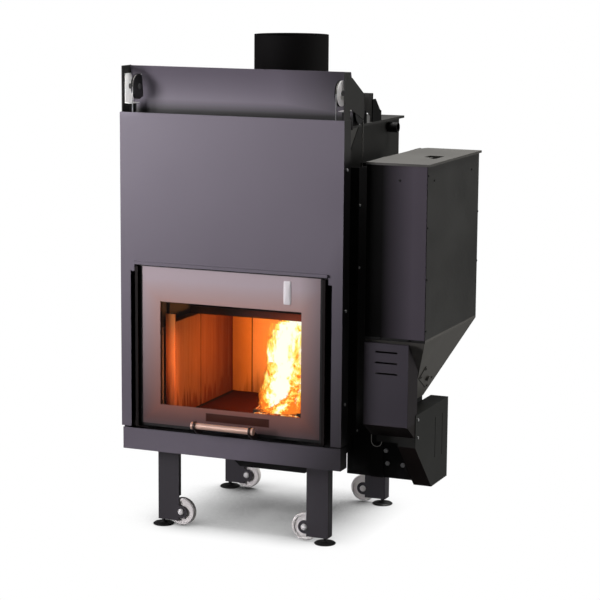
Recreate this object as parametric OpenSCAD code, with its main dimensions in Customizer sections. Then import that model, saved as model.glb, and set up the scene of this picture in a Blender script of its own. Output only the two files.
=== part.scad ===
// Boiler fireplace with a rising glass door, a side pellet hopper and a burner.
// All lengths are in millimetres. X runs along the front, Y goes back, Z is up.

/* [Front] */
// Width of the front panel
facade_w = 790; // [720:5:860]
// Height of the front panel
facade_h = 1050; // [1020:5:1100]
// Height of the front panel's lower edge above the floor
facade_z = 361; // [355:1:380]
// Depth of the front panel's side returns
return_d = 58; // [50:1:58]
// Thickness of the front sheet
facade_t = 3; // [2:0.5:3]
// Height of the plinth panel
plinth_h = 73; // [60:1:74]
// How far the plinth stands behind the front panel
plinth_back = 5.5; // [3:0.5:9]
// How much narrower the plinth is at each end
plinth_in = 2.5; // [1:0.5:6]
// Depth of the plinth's side returns
plinth_return = 54; // [40:1:54]
// Height of the proud strip over the door
hood_h = 10; // [6:1:14]
// How far that strip stands proud
hood_out = 8; // [5:1:12]

/* [Door] */
// Distance of the door glass from the ends of the front panel
glass_in = 77; // [75:1:90]
// Height of the door glass
glass_h = 528; // [500:2:530]
// Thickness of the door glass
glass_t = 4; // [4:0.5:5]
// Gap between the front panel and the rising glass
glass_gap = 1.7; // [1.5:0.1:2]
// Height of the glass above the front panel's lower edge
glass_rise = 16; // [12:1:20]
// Width of the printed border beside the clear window
window_in = 65.5; // [65.5:0.5:90]
// Height of the clear window
window_h = 347; // [300:1:347]
// Height of the window above the glass's lower edge
window_rise = 67; // [64:1:74]
// Thickness of the steel door frame
door_t = 10; // [8:1:11]
// How far the door frame reaches past the glass
door_lap = 7; // [5:1:7]
// Width of the door gasket
gasket_w = 10; // [6:1:12]
// Thickness of the door gasket
gasket_t = 6; // [4:1:7]
// Travel of the door
door_travel = 440; // [380:5:440]
// Diameter of the handle bar
handle_d = 21; // [16:1:24]
// Length of the handle bar
handle_l = 216; // [212:2:260]
// How far the bar's axis stands in front of the front panel
handle_out = 52; // [42:1:60]
// Height of the bar above the glass's lower edge
handle_rise = 20; // [18:1:26]
// Distance between the two handle brackets
handle_grip = 197; // [150:1:200]
// Width of a handle bracket
bracket_w = 6; // [4:1:8]
// Distance of the handle's middle from the left end of the front panel
handle_x = 395; // [340:1:440]

/* [Guides] */
// Thickness of the guide rails
rail_t = 2; // [1.5:0.5:2.5]
// Distance of a guide rail from the end of the front panel
rail_x = 56; // [54:0.5:57]
// Width of a guide rail's front lip
rail_lip = 8; // [5:1:9]
// How far that lip stands in front of the front panel
rail_out = 7; // [4:1:9]

/* [Lifting gear] */
// Distance of a cable from the end of the front panel
cable_x = 36.7; // [35:0.1:38]
// Distance of a cable behind the front face
cable_y = 20.5; // [19:0.5:22]
// Diameter of a steel cable
cable_d = 4; // [3:0.5:4]
// Groove radius of the front pulleys
pulley_r = 36; // [32:1:38]
// Height of the pulley flanges above the groove
flange_h = 5; // [4:0.5:6]
// Width of a pulley
pulley_w = 10; // [9:1:12]
// Height of the front pulleys' axis above the front panel
pulley_up = 81; // [78:1:84]
// Groove radius of the rear pulleys
rear_pulley_r = 36; // [32:1:38]
// Distance of the rear pulleys' axis behind the front face
rear_pulley_y = 220; // [216:1:226]
// Height of the rear pulleys' axis above the top plate
rear_pulley_up = 49; // [46:1:54]
// Radius of a pulley axle
axle_r = 6; // [5:0.5:6]
// Thickness of a counterweight
weight_t = 26; // [20:1:28]
// Width of a counterweight
weight_w = 130; // [110:2:136]
// Length of a counterweight
weight_h = 340; // [300:5:350]
// Drop of a counterweight's top below the channel's top
weight_drop = 60; // [50:5:70]
// Width of a counterweight channel
channel_w = 56; // [54:1:56]
// Depth of a counterweight channel
channel_d = 160; // [156:2:170]
// Length of a counterweight channel
channel_h = 880; // [850:2:890]
// Distance of the channels' top below the top plate
channel_down = 130; // [120:2:140]

/* [Head] */
// Height of the head above the front panel
head_h = 149; // [145:1:155]
// Thickness of the head's side plates
head_t = 3; // [2:0.5:3]
// Setback of the head's side plates
head_back = 8; // [6:1:14]
// Radius of the curved back panel
curve_r = 300; // [280:5:340]
// Distance of that panel's foot behind the front face
curve_foot = 86; // [84:1:92]

/* [Boiler] */
// Distance of the boiler body from the ends of the front panel
body_in = 74; // [72:1:80]
// Distance of the boiler's front behind the front face
body_y = 60; // [59:1:62]
// Depth of the boiler body
body_d = 648; // [640:2:670]
// Thickness of the jacket plates
jacket_t = 4; // [3:0.5:6]
// Thickness of the firebox plates
shell_t = 5; // [4:0.5:6]
// Thickness of the casing sheets
casing_t = 2; // [1:0.5:2]
// Height of the boiler's underside above the floor
body_z = 281; // [270:1:300]
// Distance of the top plate below the front panel's upper edge
top_down = 35; // [22:1:38]
// Thickness of the top plate
top_t = 8; // [6:1:10]
// Overhang of the top plate at the sides
top_over = 16; // [10:1:18]
// Overhang of the top plate at the back
top_over_back = 8; // [4:1:12]
// Inside radius of the flue spigot
flue_r = 125; // [120:1:130]
// Wall of the flue spigot
flue_t = 2; // [1.5:0.5:3]
// Length of the flue spigot above the top plate
flue_h = 278; // [200:2:300]
// Distance of the flue's axis behind the front face
flue_y = 507; // [495:1:515]
// Length of the chamfer on a side panel's front corner
chamfer = 117; // [60:1:120]
// Distance of a side panel's front edge behind the front face
side_panel_y = 205; // [200:1:215]
// Outside radius of a water socket
socket_r = 17; // [16.5:0.5:18]
// Inside radius of a water socket
socket_bore = 15.1; // [14.5:0.1:15.4]
// Length of a water socket
socket_l = 38; // [30:1:40]
// Distance of the upper socket's axis below the top plate
socket_down = 32; // [28:1:40]
// Distance of the upper socket's axis behind the front face
socket_y = 600; // [560:2:640]
// Height of the lower socket's axis above the body's underside
socket_up = 49; // [40:1:60]
// Distance of the lower socket's axis behind the front face
low_socket_y = 640; // [600:2:660]

/* [Firebox] */
// Width of the water space beside the firebox, with its plates
fire_in = 76; // [74:1:86]
// Depth of the firebox behind the boiler's front
fire_d = 465; // [440:5:480]
// Height of the hearth above the floor
hearth_z = 400; // [396:1:404]
// Thickness of the bricks
brick_t = 34; // [26:1:36]
// Height of the wall bricks
brick_h = 320; // [300:2:330]
// Gap between neighbouring bricks
brick_gap = 1.5; // [1:0.1:3]
// Thickness of the smoke baffle
baffle_t = 24; // [16:1:30]
// Depth of the smoke baffle
baffle_d = 307; // [280:1:320]
// Length of the burner pot
pot_l = 170; // [140:5:180]
// Width of the burner pot
pot_w = 250; // [220:5:256]
// Height of the burner pot
pot_h = 30; // [24:1:36]
// Diameter of a heat exchanger tube
tube_d = 44; // [36:1:48]
// Number of heat exchanger tubes in a row
tube_n = 5; // [3:1:5]

/* [Legs] */
// Width of a leg's front plate
leg_w = 77; // [72:1:78]
// Depth of a leg
leg_d = 40; // [36:1:44]
// Depth of a leg's inner lip
leg_lip = 18; // [14:1:30]
// Thickness of the leg steel
leg_t = 4; // [3:0.5:5]
// Height of the legs' lower ends above the floor
leg_z = 20; // [18:1:24]
// Distance of the front legs behind the front face
leg_y = 104; // [96:1:112]
// Distance from the front legs to the rear legs
leg_pitch = 546; // [520:2:556]
// Distance of a leg's outer side from the end of the front panel
leg_x = 84; // [80:1:90]
// Radius of a transport wheel
wheel_r = 47; // [42:1:48]
// Width of a transport wheel
wheel_w = 22; // [18:1:24]
// Height of the wheels' axis above the floor
wheel_z = 51.5; // [50:0.5:56]
// Distance of a wheel's axis from the leg's outer side
wheel_x = 84.5; // [82:0.5:87]
// Radius of a wheel's axle bolt
wheel_axle_r = 5; // [4:0.5:6]
// Radius of a levelling foot's disc
foot_r = 36; // [30:1:37]
// Thickness of a levelling foot's disc
foot_t = 6; // [4:1:8]
// Radius of a levelling foot's stud
stud_r = 6; // [5:0.5:7]
// Length of a levelling foot's stud above the disc
stud_l = 60; // [50:1:80]

/* [Hopper] */
// Distance of the hopper from the end of the front panel
hopper_x = 50; // [46:1:56]
// Width of the hopper
hopper_w = 203; // [195:1:215]
// Distance of the hopper's front behind the front face
hopper_y = 75; // [72:1:84]
// Depth of the hopper
hopper_d = 523; // [500:1:540]
// Height of the hopper's lower edge above the floor
hopper_z = 718; // [710:1:730]
// Height of the hopper's straight walls
hopper_h = 553; // [520:1:570]
// Thickness of the hopper sheet
hopper_t = 2; // [1.5:0.5:2]
// Overhang of the lid
lid_over = 7; // [5:1:12]
// Height of the lid's lip
lid_lip = 8; // [7:1:12]
// Length of the grip recess in the lid
grip_l = 95; // [80:1:110]
// Width of the grip recess in the lid
grip_w = 53; // [40:1:60]
// Depth of the grip recess in the lid
grip_d = 12; // [8:1:16]
// Height of the straight edge on top of the funnel
funnel_edge = 8; // [6:1:20]
// Height of the funnel below the straight walls
funnel_h = 245; // [230:1:250]
// Side of the square neck under the funnel
neck_w = 100; // [92:1:104]
// Setback of the neck's front behind the hopper's front
neck_back = 205; // [195:1:215]
// Opening angle of the lid
lid_angle = 95; // [70:1:95]

/* [Feeder and burner] */
// Outside radius of the feed tube
feed_r = 34; // [31:1:34]
// Wall of the feed tube
feed_t = 3; // [2:0.5:4]
// Radius of the screw flight
screw_r = 28; // [24:1:28]
// Radius of the screw shaft
screw_shaft = 8; // [6:0.5:10]
// Pitch of the screw
screw_pitch = 54; // [44:1:60]
// Height of the feed tube's axis above the floor
feed_z = 320; // [319.5:0.5:321]
// Width of the burner cover
cover_w = 59; // [56:1:64]
// Depth of the burner cover
cover_d = 328; // [320:1:340]
// Height of the burner cover
cover_h = 275; // [270:1:280]
// Height of the burner cover's top above the floor
cover_z = 456; // [450:1:460]
// Size of the slope at the burner cover's front
cover_slope = 167; // [150:1:168]
// Distance of the burner cover's front behind the front face
cover_y = 140; // [138:1:146]
// Thickness of the burner cover sheet
cover_t = 2; // [1.5:0.5:2.5]
// Width of the louvered cover
vent_w = 151; // [140:1:156]
// Height of the louvered cover's straight front
vent_h = 269; // [250:1:270]
// Height of the louvered cover's top above the floor
vent_z = 700; // [690:1:702]
// Distance of the louvered cover's front behind the front face
vent_y = 65; // [60:1:68]
// Drop of the slope under the louvered cover
vent_drop = 49; // [40:1:52]
// Number of slots in the louvered cover
slot_n = 3; // [2:1:6]
// Length of a louver slot
slot_l = 74; // [50:1:100]
// Height of a louver slot
slot_h = 6; // [3:0.5:8]
// Distance between louver slots
slot_pitch = 35; // [20:1:40]
// Radius of the fan impeller
fan_r = 40; // [34:1:41]
// Width of the fan impeller
fan_w = 20; // [16:1:22]
// Number of fan blades
fan_n = 16; // [10:1:24]

/* [Hidden] */

// Roundness of turned parts
$fn = 64;
// Reach of a cut past the face that it opens
cut = 1;
// Clearance between a turning part and its axle
run = 0.05;
// Width of the seam between plates that are welded or laid together
seam = 0.2;
// Clearance between sliding or turning parts that only pass each other
slip = 0.3;

// Front
mid_w = facade_w / 2;
facade_top = facade_z + facade_h;
top_z = facade_top - top_down;
facade_back = facade_t;
glass_x = glass_in;
glass_y = facade_back + glass_gap;
glass_z = facade_z + glass_rise;
door_x = glass_x - door_lap;
door_y = glass_y + glass_t;
door_back = door_y + door_t;
door_z = facade_z + 6;
door_top = glass_z + glass_h + 3;
window_x = glass_x + window_in;
window_z = glass_z + window_rise;
gasket_back = door_back + gasket_t;
hood_z = door_top + 3;
slot_top = hood_z - 24;
opening_x = rail_x - 6;
slot_x = cable_x - 0.4;
ear_h = 24;
ear_y = door_y + 3.6;
ear_back = cable_y + cable_d / 2 + 1;
head_in = facade_t + head_t;
post_y = 10;
post_right = cable_x - 11;
// Lifting gear
pulley_y = cable_y + pulley_r + cable_d / 2;
pulley_z = facade_top + pulley_up;
bracket_y = cable_y + cable_d / 2 + 3;
bracket_back = curve_foot - 4;
bracket_z = pulley_z - 55;
rear_pulley_z = top_z + rear_pulley_up;
rear_cable_y = rear_pulley_y + rear_pulley_r + cable_d / 2;
wrap = atan2(rear_pulley_z - pulley_z, rear_pulley_y - pulley_y)
    + asin((rear_pulley_r - pulley_r) / norm([rear_pulley_y - pulley_y, rear_pulley_z - pulley_z]));
// Boiler
body_x = body_in;
body_back = body_y + body_d;
wall_x = facade_w - body_x;
panel_top = top_z - top_t;
jacket_x = body_x + casing_t;
jacket_back = body_back - casing_t;
sockets = [[socket_y, top_z - socket_down], [low_socket_y, body_z + socket_up]];
channel_top = top_z - channel_down;
channel_z = channel_top - channel_h;
channel_y = rear_cable_y - weight_w / 2 - 10;
weight_top = channel_top - weight_drop;
// Firebox
fire_x = body_x + fire_in;
fire_back = body_y + fire_d;
fire_z = hearth_z - brick_t;
brick_top = hearth_z + brick_h;
mouth_y = gasket_back + slip;
// Legs
foot_x = leg_x + 14;
ear_r = 22;
foot_dy = 12;
// Hopper
hop_x = facade_w + hopper_x;
hop_right = hop_x + hopper_w;
hop_back = hopper_y + hopper_d;
hop_top = hopper_z + hopper_h;
lid_z = hop_top + lid_lip;
lid_t = hopper_t;
hinge_x = hop_x - 7;
hinge_z = hop_top + 2;
hinge_r = 5.5;
hinge_pin = 2.5;
lid_x = hop_x - 2;
lid_right = hop_right + lid_over;
lid_front = hopper_y - 8;
lid_back = hop_back + 6;
neck_x = hop_x - 5;
neck_right = neck_x + neck_w;
neck_y = hopper_y + neck_back;
neck_back_y = neck_y + neck_w;
neck_z = hopper_z - funnel_h;
// Feeder and burner
feed_y = neck_y + neck_w / 2;
cover_x = neck_right;
cover_right = cover_x + cover_w;
cover_back = cover_y + cover_d;
cover_low = cover_z - cover_h;
plate_t = 3;
vent_x = hop_x + 1;
vent_right = vent_x + vent_w;
vent_low = vent_z - vent_h;
vent_back = cover_y - 3;
tray_z = vent_low - vent_drop - 22;
console_y = cover_y + 150;
console_back = cover_back;
console_z = cover_low + 19;
console_top = tray_z;
console_t = 3;
fan_case_r = fan_r + 14;
fan_y = cover_back - fan_case_r - 5;
fan_z = cover_low + fan_case_r + 5;
fan_case_w = fan_w + 8;
pot_x = facade_w - fire_x - brick_t - 7 - pot_l;
pot_y = feed_y + feed_r + 4 - pot_w;
riser_x = pot_x + pot_l / 2;
// Place of the whole object's own middle on the floor
screw_head = 3;
handle_eye = handle_d / 2 + 4;
mid_x = (lid_right - screw_head) / 2;
mid_y = (body_back + top_over_back - handle_out - handle_eye) / 2;

paint = [0.42, 0.40, 0.45];
black = [0.12, 0.12, 0.12];
side_grey = [0.24, 0.24, 0.23];
galvanised = [0.78, 0.79, 0.80];
steel = [0.62, 0.63, 0.65];
copper = [0.72, 0.52, 0.46];
brick_colour = [0.80, 0.66, 0.48];
glass_colour = [0.55, 0.50, 0.56, 0.5];

// Puts the object's middle over the origin
module place() translate([-mid_x, -mid_y, 0]) children();

// A block between two opposite corners
module block(low, high) translate(low) cube(high - low);

// A rod along each axis
module rod_x(r, x0, x1, y, z) translate([x0, y, z]) rotate([0, 90, 0]) cylinder(r = r, h = x1 - x0);
module rod_y(r, y0, y1, x, z) translate([x, y1, z]) rotate([90, 0, 0]) cylinder(r = r, h = y1 - y0);
module rod_z(r, z0, z1, x, y) translate([x, y, z0]) cylinder(r = r, h = z1 - z0);

// A flat outline in Y and Z, made thick along X
module side_outline(x0, x1, points)
    translate([x0, 0, 0]) rotate([90, 0, 90]) linear_extrude(x1 - x0) polygon(points);

// The same thing at both ends of the front panel
module right_hand() translate([facade_w, 0, 0]) mirror([1, 0, 0]) children();
module both_ends() {
    children();
    right_hand() children();
}

// A sheet bent round three sides of a box, open at the back, top and bottom
module wrap_sheet(x0, y0, z0, x1, y1, z1, t)
    difference() {
        block([x0, y0, z0], [x1, y1, z1]);
        block([x0 + t, y0 + t, z0 - cut], [x1 - t, y1 + cut, z1 + cut]);
    }

module facade_panel() place() color(paint)
    difference() {
        wrap_sheet(0, 0, facade_z, facade_w, return_d, facade_top, facade_t);
        block([slot_x, -cut, facade_z - cut], [facade_w - slot_x, facade_t + cut, slot_top]);
        block([opening_x, -cut, slot_top - cut], [facade_w - opening_x, facade_t + cut, hood_z]);
    }

module plinth_panel() place() color(paint)
    wrap_sheet(plinth_in, plinth_back, body_z, facade_w - plinth_in, plinth_back + plinth_return,
        body_z + plinth_h, facade_t);

// Two posts joined at the top and bottom, which carry the front panel and the plinth
module front_frame() place() color(black) {
    post_low = body_z + 2;
    post_mid = facade_z + 2;
    post_high = head_foot;
    bar_x = body_x + 12;
    both_ends() {
        post(plinth_in + facade_t, post_low, post_mid);
        post(facade_t, post_mid, post_high);
        post(head_in, post_high, facade_top - 3);
    }
    both_ends() block([post_right, body_y - 4, post_low], [bar_x, body_y, top_z - 16]);
    both_ends() block([head_in, body_y - 4, facade_top - 3], [cable_x - 6, body_y, bracket_z - 1]);
    block([bar_x, body_y - 10, top_z - 46], [facade_w - bar_x, body_y, top_z - 16]);
    block([bar_x, body_y - 10, post_low], [facade_w - bar_x, body_y, post_low + 68]);
}
// A length of an angle section post, its long leg starting at x
module post(x, z0, z1) {
    block([x, post_y, z0], [x + 4, body_y, z1]);
    block([x, body_y - 4, z0], [post_right, body_y, z1]);
    block([x, post_y, z0], [post_right, post_y + 3, z1]);
}

// Side plates of the head, each with a wing that reaches back over the top plate
wing_low = facade_top - 8;
wing_back = head_back + 176;
head_foot = facade_top - 80;
head_foot_back = head_back + 50;
head_top = facade_top + head_h;
notch_back = head_back + 42;
module head_side_plates() place() color(black) {
    head_plate(notch_back + 23);
    right_hand() head_plate(notch_back);
}
module head_plate(step_back) side_outline(facade_t, head_in, [
    [head_back, head_foot], [head_back, head_top + 1], [step_back, head_top + 1],
    [step_back, head_top - 13], [notch_back + 24, head_top - 19],
    [wing_back, head_top - 77], [wing_back - 9, wing_low],
    [head_foot_back, facade_top + 34], [head_foot_back, head_foot]]);

// Curved panel between the side plates, hollow side to the front, with a slot for each front pulley
curve_y = curve_foot - curve_r;
curve_z = facade_top + 39;
module head_back_panel() place() color(paint)
    difference() {
        translate([head_in, 0, 0]) rotate([90, 0, 90]) linear_extrude(facade_w - 2 * head_in) {
            difference() {
                intersection() {
                    translate([curve_y, curve_z]) circle(r = curve_r + head_t, $fn = 128);
                    translate([curve_y + curve_r / 2, curve_z]) square([curve_r, head_top - curve_z]);
                }
                translate([curve_y, curve_z]) circle(r = curve_r, $fn = 128);
            }
            translate([curve_y + curve_r, top_z]) square([head_t, curve_z - top_z]);
        }
        both_ends() block([cable_x - pulley_w / 2 - 1.2, pulley_y, pulley_z - pulley_r],
            [cable_x + pulley_w / 2 + 1.2, curve_foot + head_t + cut, pulley_z + pulley_r + flange_h - 2]);
    }

module hood_strip() place() color(paint)
    difference() {
        block([opening_x, -hood_out, hood_z], [facade_w - opening_x, 0, hood_z + hood_h]);
        block([opening_x + 2, 2 - hood_out, hood_z - cut], [facade_w - opening_x - 2, cut, hood_z + hood_h - 3]);
    }

module guide_rails() place() color(paint)
    both_ends() {
        block([rail_x, -rail_out, door_z - 3], [rail_x + rail_t, facade_back, hood_z - 6]);
        block([rail_x, facade_back, door_z - 3], [rail_x + rail_t, ear_y - 0.6, facade_top - 20]);
        block([rail_x + rail_t, -rail_out, door_z - 3], [rail_x + rail_t + rail_lip, 3 - rail_out, hood_z - 6]);
        block([rail_x + rail_t, -rail_out, door_z - 3], [rail_x + 46, 3 - rail_out, door_z - 0.5]);
        block([post_right, post_y, door_z - 3], [rail_x, ear_y - 0.6, door_z + 12]);
        block([post_right, post_y, facade_top - 45], [rail_x, ear_y - 0.6, facade_top - 20]);
    }

// Galvanised plates for the front pulleys, and steel posts for the rear pulleys on the top plate
post_in = body_x - top_over;
module pulley_brackets() place() {
    color(galvanised) both_ends() {
        difference() {
            side_outline(head_in, head_in + 2, [[bracket_y, bracket_z], [bracket_back, bracket_z],
                [bracket_back, bracket_z + 55], [bracket_back - 14, bracket_z + 98], [bracket_y, bracket_z + 98]]);
            rod_x(axle_r, head_in - cut, head_in + 2 + cut, pulley_y, pulley_z);
        }
        block([head_in + 2, bracket_y, bracket_z], [cable_x - 6, bracket_back, bracket_z + 2]);
    }
    color(black) right_hand() rear_post();
    color(black) rear_post();
}
// One rear post: a cheek with the pulley's axle, and a folded front plate with a gusset
module rear_post() {
    post_t = 3;
    cheek_front = rear_pulley_y - 25;
    cheek_back = rear_pulley_y + 130;
    fold_y = rear_pulley_y + 73;
    fold_x = post_in - 43;
    gusset_back = fold_y + 79;
    difference() {
        side_outline(post_in, post_in + post_t, [[cheek_front, top_z], [cheek_back, top_z],
            [cheek_back, top_z + 40], [fold_y, top_z + 100], [cheek_front + 13, top_z + 66],
            [cheek_front, top_z + 40]]);
        rod_x(axle_r, post_in - cut, post_in + post_t + cut, rear_pulley_y, rear_pulley_z);
    }
    translate([0, fold_y, top_z]) rotate([90, 0, 0]) linear_extrude(post_t)
        polygon([[fold_x, 10], [fold_x, 104], [post_in, 104], [post_in, 64], [fold_x + 10, 30], [fold_x + 10, 10]]);
    side_outline(fold_x, fold_x + post_t, [[fold_y, top_z + 10], [gusset_back, top_z + 10],
        [gusset_back, top_z + 42], [gusset_back - 12, top_z + 46], [fold_y + 25, top_z + 84],
        [fold_y, top_z + 84]]);
}

// A grooved wheel on the X axis
module pulley(r, bore)
    rotate([0, 90, 0]) rotate_extrude($fn = 96)
        polygon([[bore, -pulley_w / 2], [r + flange_h, -pulley_w / 2], [r + flange_h, 2 - pulley_w / 2],
            [r - slip, -cable_d / 2 - slip], [r - slip, cable_d / 2 + slip],
            [r + flange_h, pulley_w / 2 - 2], [r + flange_h, pulley_w / 2], [bore, pulley_w / 2]]);
module front_pulley() translate([cable_x, pulley_y, pulley_z]) pulley(pulley_r, axle_r + run);
module rear_pulley() translate([cable_x, rear_pulley_y, rear_pulley_z]) pulley(rear_pulley_r, axle_r + run);
module front_pulley_left() place() color(black) front_pulley();
module front_pulley_right() place() color(galvanised) right_hand() front_pulley();
module rear_pulley_left() place() color(black) rear_pulley();
module rear_pulley_right() place() color(black) right_hand() rear_pulley();

// Stub axles of the four pulleys and the axle bolts of the four wheels
module axle_bolts() place() color(steel) {
    both_ends() {
        rod_x(axle_r, head_in, cable_x + pulley_w / 2 + slip, pulley_y, pulley_z);
        rod_x(axle_r + 3, cable_x + pulley_w / 2 + slip, cable_x + pulley_w / 2 + 5, pulley_y, pulley_z);
        rod_x(axle_r + 3, head_in + 2, cable_x - pulley_w / 2 - slip, pulley_y, pulley_z);
        rod_x(axle_r, cable_x - pulley_w / 2 - slip, post_in + 3, rear_pulley_y, rear_pulley_z);
        rod_x(axle_r + 3, cable_x - pulley_w / 2 - 5, cable_x - pulley_w / 2 - slip, rear_pulley_y, rear_pulley_z);
        rod_x(axle_r + 3, cable_x + pulley_w / 2 + slip, post_in, rear_pulley_y, rear_pulley_z);
    }
    for (y = [leg_y, leg_y + leg_pitch]) both_ends() translate([leg_x + wheel_x, y, wheel_z]) {
        rod_y(wheel_axle_r, -4, leg_t + wheel_w + 8, 0, 0);
        rotate([90, 0, 0]) rotate_extrude() polygon([[0, 0], [11, 0], [11, 2], [8, 5], [0, 6]]);
        translate([0, leg_t + wheel_w + 7, 0]) rotate([90, 0, 0]) cylinder(r = 9, h = 6, $fn = 6);
    }
}

module cable_front_runs() place() color(steel)
    both_ends() rod_z(cable_d / 2, door_top, pulley_z, cable_x, cable_y);

// Over the front pulley, down to the rear pulley and over it
module cable_top_runs() place() color(steel)
    both_ends() translate([cable_x, 0, 0]) {
        translate([0, pulley_y, pulley_z]) rotate([0, -90, 0]) rotate([0, 0, -90])
            rotate_extrude(angle = 90 - wrap) translate([pulley_r + cable_d / 2, 0]) circle(d = cable_d, $fn = 16);
        translate([0, rear_pulley_y, rear_pulley_z]) rotate([0, -90, 0]) rotate([0, 0, -wrap])
            rotate_extrude(angle = 90 + wrap) translate([rear_pulley_r + cable_d / 2, 0])
                circle(d = cable_d, $fn = 16);
    }

module cable_rear_runs() place() color(steel)
    both_ends() rod_z(cable_d / 2, weight_top + 12, rear_pulley_z, cable_x, rear_cable_y);

module counterweight() {
    block([cable_x - weight_t / 2, rear_cable_y - weight_w / 2, weight_top - weight_h],
        [cable_x + weight_t / 2, rear_cable_y + weight_w / 2, weight_top]);
    rod_z(5, weight_top, weight_top + 12, cable_x, rear_cable_y);
}
module counterweight_left() place() color(black) counterweight();
module counterweight_right() place() color(black) right_hand() counterweight();

module counterweight_channels() place() color(black)
    both_ends() difference() {
        block([body_x - channel_w, channel_y, channel_z], [body_x, channel_y + channel_d, channel_top]);
        block([body_x - channel_w + 2, channel_y + 2, channel_z + 2],
            [body_x + cut, channel_y + channel_d - 2, channel_top + cut]);
    }

module door_frame() place() color(black) {
    difference() {
        block([door_x, door_y, door_z], [facade_w - door_x, door_back, door_top]);
        block([window_x - 2, door_y - cut, window_z - 6],
            [facade_w - window_x + 2, door_back + cut, window_z + window_h + 6]);
    }
    both_ends() {
        block([cable_x - 7, ear_y, door_top - ear_h], [door_x, ear_back, door_top]);
        for (z = [door_z + 20, door_top - ear_h - 40])
            block([rail_x + rail_t + 0.4, door_y, z], [door_x, door_back, z + 30]);
        block([door_x, glass_y - 1, glass_z], [glass_x - 0.3, door_y, glass_z + glass_h]);
    }
}

module door_glass() place() color(glass_colour)
    block([glass_x, glass_y, glass_z], [facade_w - glass_x, door_y, glass_z + glass_h]);

// Flat rope seal on the back of the door frame
seal_out = 18;
module door_gasket() place() color(side_grey)
    difference() {
        block([window_x - seal_out, door_back, window_z - seal_out - 4],
            [facade_w - window_x + seal_out, gasket_back, window_z + window_h + seal_out + 4]);
        block([window_x - seal_out + gasket_w, door_back - cut, window_z - seal_out - 4 + gasket_w],
            [facade_w - window_x + seal_out - gasket_w, gasket_back + cut,
            window_z + window_h + seal_out + 4 - gasket_w]);
    }

handle_z = glass_z + handle_rise;
module handle_bar() place() color(copper) {
    rod_x(handle_d / 2, handle_x - handle_l / 2, handle_x + handle_l / 2, -handle_out, handle_z);
    for (s = [-1, 1]) rod_x(handle_d / 2 + 1.5, handle_x + s * handle_l / 2 - 3, handle_x + s * handle_l / 2 + 3,
        -handle_out, handle_z);
}

// Arms from the door's lower edge to the bar
module handle_brackets() place() color(copper)
    for (s = [-1, 1]) translate([handle_x + s * handle_grip / 2 - bracket_w / 2, 0, 0]) difference() {
        union() {
            rod_x(handle_eye, 0, bracket_w, -handle_out, handle_z);
            side_outline(0, bracket_w, [[door_y, door_z], [door_y, glass_z - 1], [glass_y - 4, glass_z - 1],
                [-handle_out + 12, handle_z + 8], [-handle_out - 8, handle_z - 12], [-handle_out + 16, door_z]]);
        }
        rod_x(handle_d / 2, -cut, bracket_w + cut, -handle_out, handle_z);
    }

// Outer water jacket: front, sides, back and bottom plates
module boiler_jacket() place() color(black) {
    right_x = facade_w - jacket_x;
    inner_x = jacket_x + jacket_t + seam;
    front_z = body_z + jacket_t + seam;
    block([jacket_x, body_y, body_z], [right_x, jacket_back, body_z + jacket_t]);
    block([inner_x, jacket_back - jacket_t, front_z], [facade_w - inner_x, jacket_back, panel_top]);
    block([jacket_x, body_y, front_z], [jacket_x + jacket_t, jacket_back, panel_top]);
    difference() {
        block([right_x - jacket_t, body_y, front_z], [right_x, jacket_back, panel_top]);
        rod_x(feed_r + slip, right_x - jacket_t - cut, right_x + cut, feed_y, feed_z);
        for (p = sockets) rod_x(socket_bore, right_x - jacket_t - cut, right_x + cut, p[0], p[1]);
    }
    both_ends() block([inner_x, body_y, front_z], [fire_x - shell_t - seam, body_y + jacket_t, panel_top]);
    block([fire_x - shell_t, body_y, front_z], [facade_w - fire_x + shell_t, body_y + jacket_t,
        fire_z - shell_t - seam]);
}

// Firebox and smoke chamber plates, with the mouth that the door seals on
upper_z = brick_top + baffle_t + 180;
upper_back = flue_y + flue_r + 12;
mouth_in = 2;
mouth_z = window_z - 14;
mouth_top = window_z + window_h + 14;
module firebox_shell() place() color(black) {
    in_x = fire_x + seam;
    in_y = body_y + shell_t + seam;
    right_x = facade_w - in_x;
    both_ends() side_outline(fire_x - shell_t, fire_x, [[body_y, fire_z - shell_t], [fire_back + shell_t,
        fire_z - shell_t], [fire_back + shell_t, upper_z], [upper_back, upper_z], [upper_back, panel_top],
        [body_y, panel_top]]);
    difference() {
        block([in_x, in_y, fire_z - shell_t], [right_x, fire_back - seam, fire_z]);
        rod_z(feed_r + slip, fire_z - shell_t - cut, fire_z + cut, riser_x, feed_y);
    }
    block([in_x, fire_back, fire_z - shell_t], [right_x, fire_back + shell_t, upper_z - seam]);
    block([in_x, fire_back, upper_z], [right_x, upper_back, upper_z + shell_t]);
    block([in_x, upper_back - shell_t, upper_z + shell_t + seam], [right_x, upper_back, panel_top]);
    block([in_x, body_y, fire_z - shell_t], [right_x, body_y + shell_t, mouth_z]);
    block([in_x, body_y, mouth_top], [right_x, body_y + shell_t, panel_top]);
    mouth(30, mouth_y, mouth_y + 5);
    mouth(shell_t, mouth_y + 5 + seam, body_y - seam);
}
// Four bars round the fire's mouth, this wide
module mouth(over, y0, y1) {
    left = window_x - mouth_in;
    both_ends() block([left - over, y0, mouth_z - over], [left, y1, mouth_top + over]);
    for (z = [mouth_z - over, mouth_top]) block([left + seam, y0, z], [facade_w - left - seam, y1, z + over]);
}

// Two staggered rows of cross tubes over the smoke baffle
module exchanger_tubes() place() color(black)
    for (row = [0, 1], i = [0 : tube_n - 1 - row]) {
        y = body_y + 60 + tube_d + (i + row / 2) * (fire_d - 80) / tube_n;
        z = brick_top + baffle_t + 220 + row * (tube_d + 46);
        difference() {
            rod_x(tube_d / 2, fire_x, facade_w - fire_x, y, z);
            rod_x(tube_d / 2 - 3, fire_x - cut, facade_w - fire_x + cut, y, z);
        }
    }

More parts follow.
